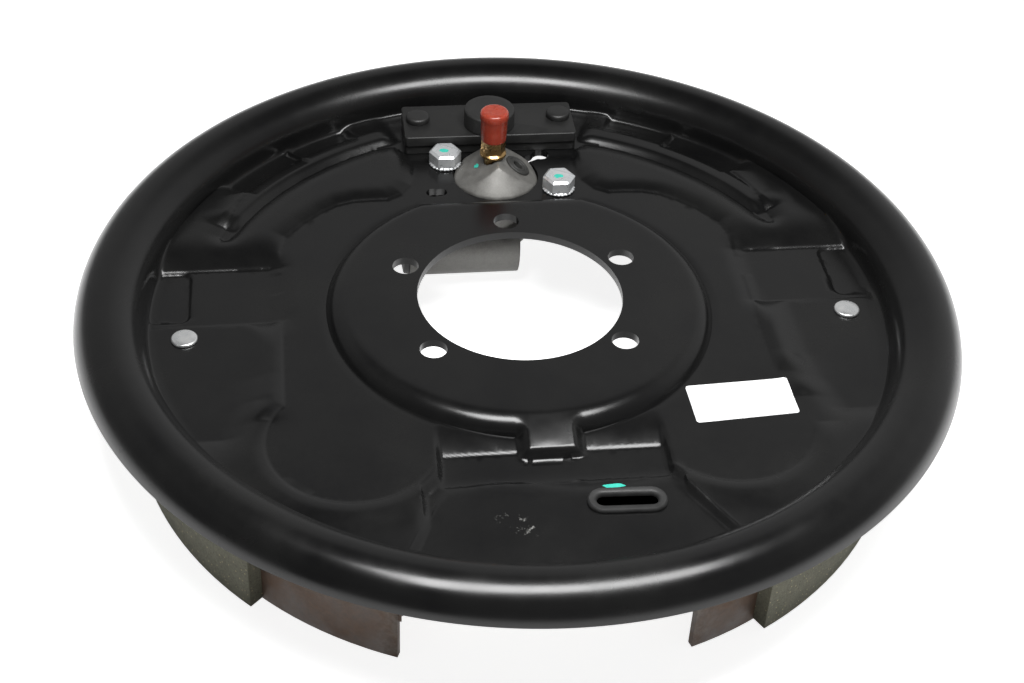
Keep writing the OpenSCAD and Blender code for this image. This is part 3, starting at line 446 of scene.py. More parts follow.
# per side: the radius where the second terrace starts and how far the stepped pockets are turned
terraces = {-1: dict(far=122.0, turn=0.0), 1: dict(far=118.8, turn=-2.7)}
pockets = dict(first=(25.8, 38.2), second=(38.2, 53.2), firstStart=130.0, firstDepth=2.2, secondStart=126.5,
               secondDepth=1.7, slopeLength=7.5)
panel = dict(half=92.0, near=-60.0, lobe=(68.0, -73.0), lobeRadius=31.0, lowHalf=70.0, lowNear=-81.0, bead=1.3)
groove = dict(edge=-81.3, left=38.5, right=42.5)
gusset = dict(x=1.8, start=-69.5, run=14.0, top=-0.4, drop=4.3, half=10.2, end=-84.6)


# 0 below the foot of a bend and 1 past it, with a crisp foot and a soft crest
def bend(d, width, power=2.0):
    t = min(1.0, max(0.0, d / width))
    return 1 - (1 - t) ** power


# a pressed wall: a gentle roll over a small crisp foot
def wallRise(d, height, foot=0.28):
    return (height - foot) * bend(d, 5.6 * (height - foot)) + foot * bend(d, 1.1)


def ramp(d, width):
    t = min(1.0, max(0.0, 0.5 - d / width))
    return t * t * (3 - 2 * t)


# signed distance to a closed outline, negative inside
def outlineDistance(x, y, outline):
    best = 1e9
    inside = False
    ax, ay = outline[-1]
    for bx, by in outline:
        ex, ey = bx - ax, by - ay
        wx, wy = x - ax, y - ay
        t = max(0.0, min(1.0, (wx * ex + wy * ey) / (ex * ex + ey * ey)))
        dx, dy = wx - t * ex, wy - t * ey
        best = min(best, dx * dx + dy * dy)
        if (ay > y) != (by > y) and x < ex * (y - ay) / (by - ay) + ax:
            inside = not inside
        ax, ay = bx, by
    return -math.sqrt(best) if inside else math.sqrt(best)


def boxDistance(x, y, x0, x1, y0, y1, corner=0.0):
    dx = abs(x - (x0 + x1) / 2) - (x1 - x0) / 2 + corner
    dy = abs(y - (y0 + y1) / 2) - (y1 - y0) / 2 + corner
    return math.hypot(max(dx, 0), max(dy, 0)) + min(max(dx, dy), 0) - corner


def onCircle(radius, degrees):
    a = math.radians(degrees)
    return radius * math.sin(a), radius * math.cos(a)


# the raised shoulder beside the anchor: a kidney that widens into the field above the side pad
def raisedOutline(far, turn):
    points = [(42, far - 9.6)] + [onCircle(far, a) for a in (25, 30, 36, 42, 48, 54, 60, 65)]
    points += [onCircle(far + 0.8, 66.8), onCircle(far + 2.6, 67.3), onCircle(far + 4.4, 66.6)]
    rim = ((127.6, 62), (129.8, 57.5), (131.5, 53.4), (152, 53.4), (152, 62), (152, 70), (150, 79))
    points += [onCircle(r, a + turn) for r, a in rim]
    points += [(92, 26), (92, 40), (90, 48.5), (82.7, 57.9), (75, 65.2), (68, 70), (61, 72.2), (54, 72.6),
               (47, 72.6), (41, 76.5), (36.8, 83), (35.2, 90), (34.8, 97), (36.4, 105)]
    return points


raisedFields = {side: raisedOutline(form["far"], form["turn"]) for side, form in terraces.items()}


def panelDistance(x, y):
    ax = abs(x)
    body = boxDistance(ax, y, -panel["half"], panel["half"], panel["near"], 200, 4)
    lobe = math.hypot(ax - panel["lobe"][0], y - panel["lobe"][1]) - panel["lobeRadius"]
    lower = boxDistance(ax, y, -panel["lowHalf"], panel["lowHalf"], panel["lowNear"], 0, 2)
    return min(body, lobe, lower)


def mix(a, b, t):
    return a + (b - a) * t


# the pressed field outside the hub
def fieldHeight(x, y):
    r = math.hypot(x, y)
    side = 1 if x > 0 else -1
    ax = abs(x)
    z = plate["pan"]
    if y > 14:
        if ax > 30:
            angle = math.degrees(math.atan2(ax, y))
            inside = -outlineDistance(ax, y, raisedFields[side])
            turn = terraces[side]["turn"]
            crestRadius = terraces[side]["far"]
            z += wallRise(inside, plate["raised"], 0.42)
            arc = math.radians(1) * r
            hold = bend((angle - 19) * arc, 7) * bend((64 - angle) * arc, 9)
            z += plate["terrace"] * bend(r - crestRadius, 3.6, 1.7) * hold
            z -= plate["terrace"] * 0.8 * bend(r - crestRadius - 9, 11) * hold
            if r > 120 and angle < 56:
                low, high = pockets["first"]
                along = min(angle - low - turn, high + turn - angle) * arc
                z -= pockets["firstDepth"] * bend(r - pockets["firstStart"], 9, 2.2) * bend(along, 2.4, 1.6)
                low, high = pockets["second"]
                along = min(angle - low - turn, high + turn - angle) * arc
                slope = min(1.0, max(0.0, (r - pockets["secondStart"]) / pockets["slopeLength"]))
                z -= pockets["secondDepth"] * slope * bend(along, 1.6, 1.5)
    else:
        outside = panelDistance(x, y)
        low = mix(plate["apron"], plate["strip"], bend(-82 - y, 10, 1.5))
        low = mix(low, -4.7, bend(-68 - y, 14) * bend(ax - 44, 6))
        bead = wallRise(outside, panel["bead"]) if outside > 0 else 0.0
        inStrip = y < -78 and ax < 46
        if inStrip:
            bead *= bend(ax - 38, 8)
        if x > 0:
            bead *= bend(abs(y + 62) - 14, 10)
        z += bead
        z = mix(z, low, ramp(9.5 - outside if not inStrip else 3.5 - outside, 13 if not inStrip else 6))
        # a pinch where the field steps down beside the lobe
        z += 1.1 * math.exp(-((ax - 101) / 7) ** 2) * bend(y + 61.5, 9, 2.6) * bend(-36 - y, 12, 1.0)
        between = min(groove["left"] + x if x < 0 else groove["right"] - x, 30)
        if -97 < y < -66 and between > -6:
            drop = plate["pan"] - plate["groove"]
            sunk = plate["groove"] + (wallRise(y - groove["edge"], drop) if y > groove["edge"] else 0.0)
            z = mix(z, min(z, sunk), bend(between + 1.2, 2.4, 1.3) * bend(y + 99, 6))
        if y < -88:
            shelf = -97.8 + 2.6 * math.sin((x + 34) / 11.5) - 1.6 * math.exp(-((x - 2) / 15) ** 2)
            left = -(x + 38.7 - (y + 100.5) * 0.49)
            right = x - 43.7 + (y + 99) * 0.59
            edge = max(y - shelf, left, right)
            z = mix(z, plate["sector"], bend(-edge + 0.4, 3.4, 1.7))
            for line in (left, right):
                z += 0.5 * math.exp(-((line + 0.8) / 1.5) ** 2) * ramp(y - shelf + 3, 6)
    # side pads with a coined seat at the outer end
    if ax > 84 and -30 < y < 64:
        edge = boxDistance(ax, y, plate["padInner"] - 20, 170, plate["padLow"], plate["padTop"], 0.8)
        target = plate["padFloor"]
        if edge > 0:
            target += wallRise(edge, max(0.4, z - target), 0.35 if y > 14 else 0.08)
        z = mix(z, min(z, target), ramp(92 - ax, 12))
        seat = boxDistance(ax, y, plate["seatInner"], 143.8, plate["padLow"] + 2.6, plate["padTop"] - 0.2, 4)
        z -= plate["seat"] * ramp(seat, 1.1)
    return z


def plateHeight(x, y):
    r = math.hypot(x, y)
    # the hub face and its rounded shoulder, flattened towards the anchor
    out = max(r - plate["foot"], y - plate["flat"])
    reach = plate["shoulder"]
    run = math.sqrt(reach ** 2 - (reach + plate["pan"]) ** 2)
    if out < 0:
        inside = out + run
        top = 0.0 if inside < 0 else math.sqrt(reach ** 2 - inside ** 2) - reach
    else:
        top = fieldHeight(x, y) - 0.3 * math.exp(-(out / 0.8) ** 2)
    # gusset from the near shoulder down to the groove
    if -84.5 < y < -64 and abs(x - gusset["x"]) < 18:
        slope = gusset["top"] - gusset["drop"] * max(0.0, (gusset["start"] - y) / gusset["run"]) ** 1.2
        hold = ramp(abs(x - gusset["x"]) - gusset["half"], 5.0) * bend(y - gusset["end"], 2.2)
        if top < slope:
            top = mix(top, slope, hold)
    return top


def lipSection():
    cx, cz, r = plate["lipRadius"], plate["lipHeight"], plate["lipSection"]
    inner = cx - r
    fold = plate["foldRadius"]
    points = arcPoints(inner - fold, plate["pan"] + fold, fold, -90, 0, 4)
    points += arcPoints(cx, cz, r, 177, plate["cutAngle"], 22)
    return points


def ringRadii():
    start, stop = plate["bore"], plate["lipRadius"] - plate["lipSection"] - plate["foldRadius"]
    count = round((stop - start) / plate["ringStep"])
    return [start + (stop - start) * i / count for i in range(count)]


# how far outside a hole a point is; negative inside
def roundHole(cx, cy, radius):
    return lambda x, y: math.hypot(x - cx, y - cy) - radius


def slotHole(cx, cy, length, width, degrees=0.0):
    c, s = math.cos(math.radians(degrees)), math.sin(math.radians(degrees))

    def distance(x, y):
        u, v = (x - cx) * c + (y - cy) * s, -(x - cx) * s + (y - cy) * c
        return math.hypot(max(abs(u) - (length - width) / 2, 0), v) - width / 2
    return distance


def cutHole(bm, distance, near):
    cx, cy, reach = near
    close = [v for v in bm.verts if abs(v.co.x - cx) < reach and abs(v.co.y - cy) < reach]
    inside = [v for v in close if distance(v.co.x, v.co.y) < 0]
    rim = {o for v in inside for e in v.link_edges for o in (e.other_vert(v),)} - set(inside)
    corner = {o for v in inside for f in v.link_faces for o in f.verts} - set(inside)
    bmesh.ops.delete(bm, geom=inside, context="VERTS")
    step = 0.02
    for v in [v for v in rim | corner if v.is_valid and v.is_boundary]:
        for _ in range(3):
            x, y = v.co.x, v.co.y
            d = distance(x, y)
            gx = (distance(x + step, y) - distance(x - step, y)) / (2 * step)
            gy = (distance(x, y + step) - distance(x, y - step)) / (2 * step)
            v.co.x -= d * gx
            v.co.y -= d * gy
    return bm


flangeAngles = (0, 64.6, -64.6, 130.6, -130.6)
holes = [(roundHole(*onCircle(47.8, a), 5.2), (*onCircle(47.8, a), 12)) for a in flangeAngles]
holes += [(roundHole(0.3, 88.2, 18.3), (0.3, 88.2, 26)), (roundHole(26, 77, 4.3), (26, 77, 9)),
          (roundHole(-20.6, 98.9, 4.3), (-20.6, 98.9, 9)),
          (roundHole(0, 115, 8.1), (0, 115, 13)), (roundHole(31, 119.5, 4.1), (31, 119.5, 9)),
          (roundHole(-31, 119.5, 4.1), (-31, 119.5, 9)),
          (roundHole(129, -11, 2.6), (129, -11, 7)), (roundHole(-129, -11, 2.6), (-129, -11, 7)),
          (slotHole(24.4, -108.7, 24, 8), (24.4, -108.7, 18))]


def doubleHole(x, y):
    return min(math.hypot(x + 27.6, y - 77) - 2.9, math.hypot(x + 24.2, y - 77.2) - 2.6)


def keyhole(x, y):
    neck = slotHole(18.0, 101.2, 9.5, 4.4, 30)
    return min(math.hypot(x - 21.6, y - 103.2) - 3.7, neck(x, y))


holes += [(doubleHole, (-26, 77, 9)), (keyhole, (19.5, 102, 12))]


# splits the edges whose middle bends away from its ends, and those on the rim of a hole
def refine(bm, crest, passes=3):
    for _ in range(passes):
        faces = set()
        for edge in bm.edges:
            a, b = edge.verts[0].co, edge.verts[1].co
            length = math.hypot(a.x - b.x, a.y - b.y)
            if length < plate["shortest"]:
                continue
            x, y = (a.x + b.x) / 2, (a.y + b.y) / 2
            if math.hypot(x, y) > crest + 0.01:
                continue
            bent = abs(plateHeight(x, y) - (a.z + b.z) / 2) > plate["bendLimit"]
            if not bent and length > 1.2:
                bent = any(abs(x - near[0]) < near[2] and abs(y - near[1]) < near[2]
                           and abs(distance(x, y)) < length * 0.8 for distance, near in holes)
            if bent:
                faces.update(edge.link_faces)
        edges = {e for f in faces for e in f.edges if e.calc_length() > plate["shortest"]
                 and ((e.verts[0].co + e.verts[1].co) / 2).xy.length < crest + 0.01}
        bmesh.ops.subdivide_edges(bm, edges=list(edges), cuts=1, use_grid_fill=True)
        for v in bm.verts:
            if math.hypot(v.co.x, v.co.y) < crest + 0.01:
                v.co.z = plateHeight(v.co.x, v.co.y)


def buildPlate():
    bm = bmesh.new()
    section = [(r, 0.0) for r in ringRadii()] + lipSection()
    spinSection(bm, section, plate["segments"], close=False)
    limit = plate["lipRadius"] - plate["lipSection"] - 0.05
    crest = plate["lipRadius"] - plate["lipSection"] - plate["foldRadius"]
    for v in bm.verts:
        r = math.hypot(v.co.x, v.co.y)
        if r < crest + 0.01:
            v.co.z = plateHeight(v.co.x, v.co.y)
        elif r < limit and v.co.z < plate["lipHeight"]:
            inward = crest / r
            shift = plateHeight(v.co.x * inward, v.co.y * inward) - plate["pan"]
            v.co.z += shift * (1 - (v.co.z - plate["pan"]) / plate["foldRadius"])
    refine(bm, crest)
    for distance, near in holes:
        cutHole(bm, distance, near)
    return bm


def seatPlate():
    bm = buildPlate()
    piece = newPiece("backingPlate", bm, plateFinish, "base", ["backing_plate"], angle=60)
    wall = piece.modifiers.new("sheet", "SOLIDIFY")
    wall.thickness = plate["sheet"] * mm
    wall.offset = -1.0
    wall.use_even_offset = False
    return piece


backingPlate = seatPlate()
corners = sum(len(p.vertices) - 2 for p in backingPlate.data.polygons)
print("plate pressed,", corners, "triangles on its face")


# anchor bars, rivets and post

anchor = dict(y=115.0, width=75.0, front=105.4, back=131.0, thick=4.6, pan=-5.0, rivetX=31.0, rivetY=119.5,
              rivetRadius=5.2, rivetHead=2.8, postRadius=11.0, postHead=8.0, corner=1.6, edge=0.55)


def barShape(front, low):
    bm = bmesh.new()
    bmesh.ops.create_cube(bm, size=1.0)
    bmesh.ops.scale(bm, vec=(anchor["width"], anchor["back"] - front, anchor["thick"]), verts=bm.verts)
    moveAll(bm, 0, (anchor["back"] + front) / 2, low + anchor["thick"] / 2)
    uprights = [e for e in bm.edges if abs(e.verts[0].co.z - e.verts[1].co.z) > 1]
    softBevel(bm, uprights, anchor["corner"], 4)
    softBevel(bm, sharpEdges(bm), anchor["edge"], 3)
    return bm


newPiece("anchorBackupBar", barShape(anchor["front"] + 1.1, anchor["pan"]), backupFinish, "base",
         ["anchor_backup_plate"])
newPiece("anchorBar", barShape(anchor["front"], anchor["pan"] + anchor["thick"] + 0.02), barFinish, "base",
         ["anchor_plate"])


def rivetShape():
    bm = bmesh.new()
    top = anchor["pan"] + 2 * anchor["thick"]
    r = anchor["rivetRadius"]
    h = anchor["rivetHead"]
    for x in (-anchor["rivetX"], anchor["rivetX"]):
        part = bmesh.new()
        section = [(0, top - 16.6), (r - 0.6, top - 16.6), (r - 1.2, top - 14.2), (r - 1.2, top + 0.02),
                   (r - 0.2, top + 0.02), (r, top + 0.4)]
        section += arcPoints(r - 1.3, top + h - 1.3, 1.3, 0, 70, 4)
        section += [(r - 2.6, top + h - 0.02), (0, top + h)]
        spinSection(part, section, 48, close=False)
        moveAll(part, x, anchor["rivetY"], 0)
        joinInto(bm, part)
    return bm


newPiece("anchorRivets", rivetShape(), rivetFinish, "base", ["anchor_rivets"])


def postShape():
    top = anchor["pan"] + 2 * anchor["thick"]
    r = anchor["postRadius"]
    h = anchor["postHead"]
    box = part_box("anchor_post")
    end = box[0].z / mm
    section = [(0, end), (8.4, end), (9.1, end + 0.7), (9.1, end + 2.4), (6.1, end + 2.7), (6.1, -38.9),
               (7.9, -38.7), (7.9, top + 0.02), (r - 0.4, top + 0.02), (r, top + 0.5)]
    section += arcPoints(r - 1.1, top + h - 1.1, 1.1, 0, 80, 4)
    section += [(r - 3, top + h - 0.03), (0, top + h)]
    bm = spinSection(bmesh.new(), section, 72, close=False)
    return moveAll(bm, 0, anchor["y"], 0)


newPiece("anchorPost", postShape(), postFinish, "base", ["anchor_post"])
print("anchor made")


# wheel cylinder casting: the CAD casting softened as a sand casting is

casting = dict(voxel=0.55, smoothing=0.5, passes=2)


def softenNode(nodeName, pieceName, material, body, values):
    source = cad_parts[nodeName]
    bm = bmesh.new()
    bm.from_mesh(source.data)
    bmesh.ops.remove_doubles(bm, verts=bm.verts, dist=1e-7)
    bmesh.ops.scale(bm, vec=(1000, 1000, 1000), verts=bm.verts)
    piece = newPiece(pieceName, bm, material, body, [nodeName], turnOut=False)
    remesh = piece.modifiers.new("cast", "REMESH")
    remesh.mode = "VOXEL"
    remesh.voxel_size = values["voxel"] * mm
    remesh.use_smooth_shade = True
    soften = piece.modifiers.new("soften", "SMOOTH")
    soften.factor = values["smoothing"]
    soften.iterations = values["passes"]
    return piece


softenNode("cylinder_body", "cylinderCasting", castFinish, "base", casting)


# flange bolts with a serrated underside

bolt = dict(across=12.2, flange=7.1, pan=-5.0, spots=((-20.6, 98.9), (26.0, 77.0)), turns=(30.0, 30.0),
            shank=4.0, teeth=24)


def boltShape(spot, turn):
    bm = bmesh.new()
    corner = bolt["across"] / 2 / math.cos(math.radians(30))
    bmesh.ops.create_cone(bm, cap_ends=True, segments=6, radius1=corner, radius2=corner, depth=5.2)
    moveAll(bm, 0, 0, 1.55 + 2.6)
    softBevel(bm, [e for e in bm.edges if abs(e.verts[0].co.z - e.verts[1].co.z) > 1], 0.35, 2)
    topFace = [f for f in bm.faces if f.normal.z > 0.9]
    bmesh.ops.inset_region(bm, faces=topFace, thickness=1.0, use_even_offset=True)
    for f in topFace:
        for v in f.verts:
            v.co.z += 0.15
    for v in bm.verts:
        r = math.hypot(v.co.x, v.co.y)
        if v.co.z > 6 and r > bolt["across"] / 2:
            v.co.z -= (r - bolt["across"] / 2) * 0.9
    r = bolt["shank"]
    bmesh.ops.create_cone(bm, cap_ends=True, segments=24, radius1=r, radius2=r, depth=10,
                          matrix=Matrix.Translation((0, 0, -2)))
    part = bmesh.new()
    f = bolt["flange"]
    section = [(0, 0.02), (f - 1.4, 0.02), (f - 0.25, 0.25), (f, 0.7), (f - 0.25, 1.05), (f - 1.2, 1.6),
               (3, 2.2), (0, 2.2)]
    spinSection(part, section, bolt["teeth"] * 4, close=False)
    for v in part.verts:
        r = math.hypot(v.co.x, v.co.y)
        if r > f - 0.7:
            a = math.atan2(v.co.y, v.co.x) * bolt["teeth"]
            pull = 1 - 0.075 * (0.5 + 0.5 * math.cos(a))
            v.co.x *= pull
            v.co.y *= pull
    joinInto(bm, part)
    turnAll(bm, turn, "Z")
    moveAll(bm, spot[0], spot[1], bolt["pan"])
    return bm


def boltShapes():
    bm = bmesh.new()
    for spot, turn in zip(bolt["spots"], bolt["turns"]):
        joinInto(bm, boltShape(spot, turn))
    return bm


newPiece("flangeBolts", boltShapes(), zincFinish, "base", ["cylinder_bolts"], angle=25)


# bleeder cap: soft vinyl with a rolled brim at its crown

cap = dict(x=-1.2, y=88.2, base=13.7, height=14.0, radius=6.0)


def capShape():
    r, h = cap["radius"], cap["height"]
    section = [(3.7, 0.1), (r - 0.95, 0.0), (r - 0.72, 0.25), (r - 0.62, 1.2), (r - 0.45, 5.0),
               (r - 0.32, 9.2), (r - 0.15, 10.2), (r, 10.9), (r, 11.9)]
    section += arcPoints(r - 1.5, h - 1.5, 1.5, 20, 85, 6)
    section += [(r - 3.0, h - 0.05), (0, h - 0.25)]
    bm = spinSection(bmesh.new(), section, 64, close=False)
    inner = spinSection(bmesh.new(), [(3.7, 0.1), (3.7, h - 2.6), (0, h - 2.4)], 64, close=False)
    joinInto(bm, inner)
    return moveAll(bm, cap["x"], cap["y"], cap["base"])


newPiece("bleederCap", capShape(), capFinish, "cap", ["bleeder_cap"])


# slot plug: a moulded rubber ring with a rounded lip

slotPlug = dict(x=24.4, y=-108.7, z=-7.2, length=28.2, width=11.8, lip=1.9, hole=(21.4, 5.2), stem=4.2,
                turn=-2.0)


def stadiumLoop(bm, length, width, z, steps=20):
    circle = bmesh.ops.create_circle(bm, cap_ends=False, segments=2 * steps, radius=width / 2)["verts"]
    for v in circle:
        shift = (length - width) / 2
        if abs(v.co.x) > 1e-4:
            v.co.x += shift if v.co.x > 0 else -shift
        v.co.z = z
    return list({e for v in circle for e in v.link_edges})


def plugShape():
    bm = bmesh.new()
    long, broad = slotPlug["length"], slotPlug["width"]
    holeLong, holeBroad = slotPlug["hole"]
    lip, stem = slotPlug["lip"], slotPlug["stem"]
    spots = [(23.4, 7.4, -stem), (23.4, 7.4, 0)]
    outer = ((0.4, 0), (0, 0.5), (0, lip - 0.9), (0.5, lip - 0.35), (1.4, lip))
    inner = ((2.4, lip), (1.2, lip - 0.3), (0.3, lip - 0.9), (0, lip - 1.6), (0, -stem + 1.2))
    spots += [(long - d, broad - d, z) for d, z in outer]
    spots += [(holeLong + d, holeBroad + d, z) for d, z in inner]
    loops = [stadiumLoop(bm, *spot) for spot in spots]
    for a, b in zip(loops, loops[1:]):
        bmesh.ops.bridge_loops(bm, edges=a + b)
    for loop in (loops[0], loops[-1]):
        bmesh.ops.contextual_create(bm, geom=loop)
    turnAll(bm, slotPlug["turn"], "Z")
    return moveAll(bm, slotPlug["x"], slotPlug["y"], slotPlug["z"])


newPiece("slotPlug", plugShape(), rubberFinish, "base", ["slot_plug"])


# hold-down pin heads: low zinc buttons with a soft edge, and their shanks

pin = dict(x=129.0, y=-11.0, top=-6.9, head=5.0, rise=1.35, shank=2.0)


def pinShapes():
    bm = bmesh.new()
    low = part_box("hold_down_pins")[0].z / mm
    for side in (-1, 1):
        part = bmesh.new()
        r = pin["head"]
        section = [(0, low), (pin["shank"], low), (pin["shank"], pin["top"]), (r - 0.3, pin["top"]),
                   (r, pin["top"] + 0.4)]
        section += arcPoints(r - 0.7, pin["top"] + pin["rise"] - 0.7, 0.7, 0, 75, 4)
        section += [(r * 0.5, pin["top"] + pin["rise"]), (0, pin["top"] + pin["rise"] + 0.08)]
        spinSection(part, section, 48, close=False)
        blade = bmesh.new()
        bmesh.ops.create_cube(blade, size=1.0)
        bmesh.ops.scale(blade, vec=(2.4, 8, 1.4), verts=blade.verts)
        softBevel(blade, list(blade.edges), 0.3, 2)
        moveAll(blade, 0, 0, low + 0.7)
        joinInto(part, blade)
        moveAll(part, side * pin["x"], pin["y"], 0)
        joinInto(bm, part)
    return bm


newPiece("holdDownPins", pinShapes(), pinFinish, "base", ["hold_down_pins"])


# inlet plug on the boss's right flat

inlet = dict(x=9.5, y=88.2, z=-0.6, tilt=33.0)


def inletShape():
    section = [(2.3, -4.9), (2.3, 0.6), (2.55, 0.85), (3.2, 0.95), (3.5, 0.7), (4.1, 0.68), (4.4, 0.95),
               (5.3, 0.98), (5.75, 0.6), (5.8, 0.1), (4.1, 0.05), (4.1, -6.5), (0, -6.5)]
    bm = spinSection(bmesh.new(), section, 56, close=False)
    floorDisc = spinSection(bmesh.new(), [(2.3, -4.9), (0, -4.9)], 56, close=False)
    joinInto(bm, floorDisc)
    turnAll(bm, inlet["tilt"], "Y")
    return moveAll(bm, inlet["x"], inlet["y"], inlet["z"])


newPiece("inletPlug", inletShape(), plugFinish, "plug", ["inlet_plug"])
print("fittings made")


# bare sticker and the dabs of green paint

sticker = dict(corners=((55.3, -53.4), (94.2, -51.5), (94.8, -70.8), (55.9, -73.5)), thick=0.16, corner=1.2,
               acrossX=(56, 95, 1), acrossY=(52, 74, 2), gap=0.03)


def stickerShape():
    bm = bmesh.new()
    face = bm.faces.new([bm.verts.new((x, y, 0)) for x, y in sticker["corners"]])
    bmesh.ops.bevel(bm, geom=list(bm.verts), offset=sticker["corner"], offset_type="OFFSET", segments=5,
                    profile=0.5, affect="VERTICES", clamp_overlap=True, material=-1)
    grown = bmesh.ops.extrude_face_region(bm, geom=list(bm.faces))
    raised = [v for v in grown["geom"] if isinstance(v, bmesh.types.BMVert)]
    bmesh.ops.translate(bm, vec=(0, 0, sticker["thick"]), verts=raised)
    cuts = [((x, 0, 0), (1, 0, 0)) for x in range(*sticker["acrossX"])]
    cuts += [((0, -y, 0), (0, 1, 0)) for y in range(*sticker["acrossY"])]
    for spot, across in cuts:
        everything = list(bm.verts) + list(bm.edges) + list(bm.faces)
        bmesh.ops.bisect_plane(bm, geom=everything, plane_co=spot, plane_no=across)
    for v in bm.verts:
        v.co.z += plateHeight(v.co.x, v.co.y) + sticker["gap"]
    return bm


newPiece("whiteSticker", stickerShape(), stickerFinish, "base")

dabs = (dict(name="greenDabLeftBolt", at=(-21.2, 98.4, 1.92), size=(2.0, 1.4, 0.16), tilt=0.0, seed=3),
        dict(name="greenDabRightBolt", at=(25.6, 76.2, 1.92), size=(2.0, 1.4, 0.16), tilt=0.0, seed=5),
        dict(name="greenDabBoss", at=(-8.2, 88.2, 0.35), size=(1.1, 1.3, 0.14), tilt=-33.0, seed=7),
        dict(name="greenDabSlot", at=(20.6, -102.4, -5.4), size=(3.9, 1.0, 0.3), tilt=0.0, seed=11))


def dabShape(values):
    random.seed(values["seed"])
    bm = bmesh.new()
    ring = bmesh.ops.create_circle(bm, cap_ends=True, segments=36, radius=1.0)["verts"]
    bmesh.ops.inset_region(bm, faces=list(bm.faces), thickness=0.22)
    bmesh.ops.inset_region(bm, faces=[f for f in bm.faces if len(f.verts) > 4], thickness=0.3)
    wobble = [random.uniform(-0.12, 0.12) for _ in range(5)]
    for v in bm.verts:
        r = math.hypot(v.co.x, v.co.y)
        a = math.atan2(v.co.y, v.co.x)
        swell = 1 + sum(w * math.sin((i + 2) * a + 1.7 * i) for i, w in enumerate(wobble))
        v.co.x *= values["size"][0] * swell
        v.co.y *= values["size"][1] * swell
        v.co.z = values["size"][2] * math.sqrt(max(0.0, 1 - min(r, 1) ** 4))
    base = bmesh.ops.extrude_face_region(bm, geom=list(bm.faces))
    low = [v for v in base["geom"] if isinstance(v, bmesh.types.BMVert)]
    for v in low:
        v.co.z = -0.05
    turnAll(bm, values["tilt"], "Y")
    return moveAll(bm, *values["at"])


for dab in dabs:
    newPiece(dab["name"], dabShape(dab), greenFinish, "base")
print("sticker and dabs made")


# CAD nodes that stay: softened edges and a finish of their own

def dressNode(nodeName, material, width=0.0, angle=35):
    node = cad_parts[nodeName]
    node.data.materials.clear()
    node.data.materials.append(material)
    weld = node.modifiers.new("weld", "WELD")
    weld.merge_threshold = 1e-6
    if width:
        soften = node.modifiers.new("edges", "BEVEL")
        soften.width = width * mm
        soften.segments = 2
        soften.limit_method = "ANGLE"
        soften.angle_limit = math.radians(angle)
        soften.harden_normals = True


def steelFinish(name, toneA=(0.28, 0.26, 0.22), toneB=(0.42, 0.39, 0.32)):
    return makeFinish(name, toneA=toneA, toneB=toneB, metallic=1.0, rough=(0.32, 0.5), patch=160.0,
                      grain=1300.0, bump=0.15, bumpDepth=0.03)


primaryPrimer, primaryFriction = shoeMaterials("primary")
secondaryPrimer, secondaryFriction = shoeMaterials("secondary")
dressNode("primary_shoe", primaryPrimer, 0.5)
dressNode("secondary_shoe", secondaryPrimer, 0.5)
dressNode("primary_lining", primaryFriction, 0.5)
dressNode("secondary_lining", secondaryFriction, 0.5)
dressNode("bleeder_screw", brassFinish, 0.25)
dressNode("shoe_guide_plate", steelFinish("guideSteel"), 0.3)
dressNode("cylinder_piston", steelFinish("pistonAluminium", (0.5, 0.5, 0.49), (0.65, 0.65, 0.64)), 0.2)
dressNode("piston_cup", cupFinish)
dressNode("cylinder_spring", steelFinish("cylinderSpringSteel"))
dressNode("dust_boot", bootFinish, 0.3)
dressNode("push_rod", steelFinish("pushRodSteel"), 0.4)
dressNode("adjuster_socket", steelFinish("socketSteel"), 0.4)
dressNode("star_wheel_screw", steelFinish("starWheelSteel"), 0.15)
dressNode("adjuster_nut", steelFinish("nutSteel"), 0.4)
for side in ("left", "right"):
    dressNode("hold_down_seat_" + side, steelFinish(side + "SeatSteel"), 0.2)
    dressNode("hold_down_spring_" + side, steelFinish(side + "SpringSteel"))
    dressNode("hold_down_cup_" + side, steelFinish(side + "CupSteel"), 0.2)
for name in ("primary_return_spring", "secondary_return_spring", "adjuster_spring"):
    dressNode(name, steelFinish(name + "Steel", (0.03, 0.03, 0.03), (0.07, 0.07, 0.065)))
print("CAD nodes dressed")


# floor, light and camera

studio = dict(floorSize=40000.0, camera=(-79.5, -513.8, 409.1), target=(-6.6, -28.9, 0.0), roll=2.865,
              lens=59.77, keyPlace=(25.0, -165.0, 500.0), keyTarget=(0, -40, 0),
              keySize=(0.44, 0.18), keyPower=5.5)


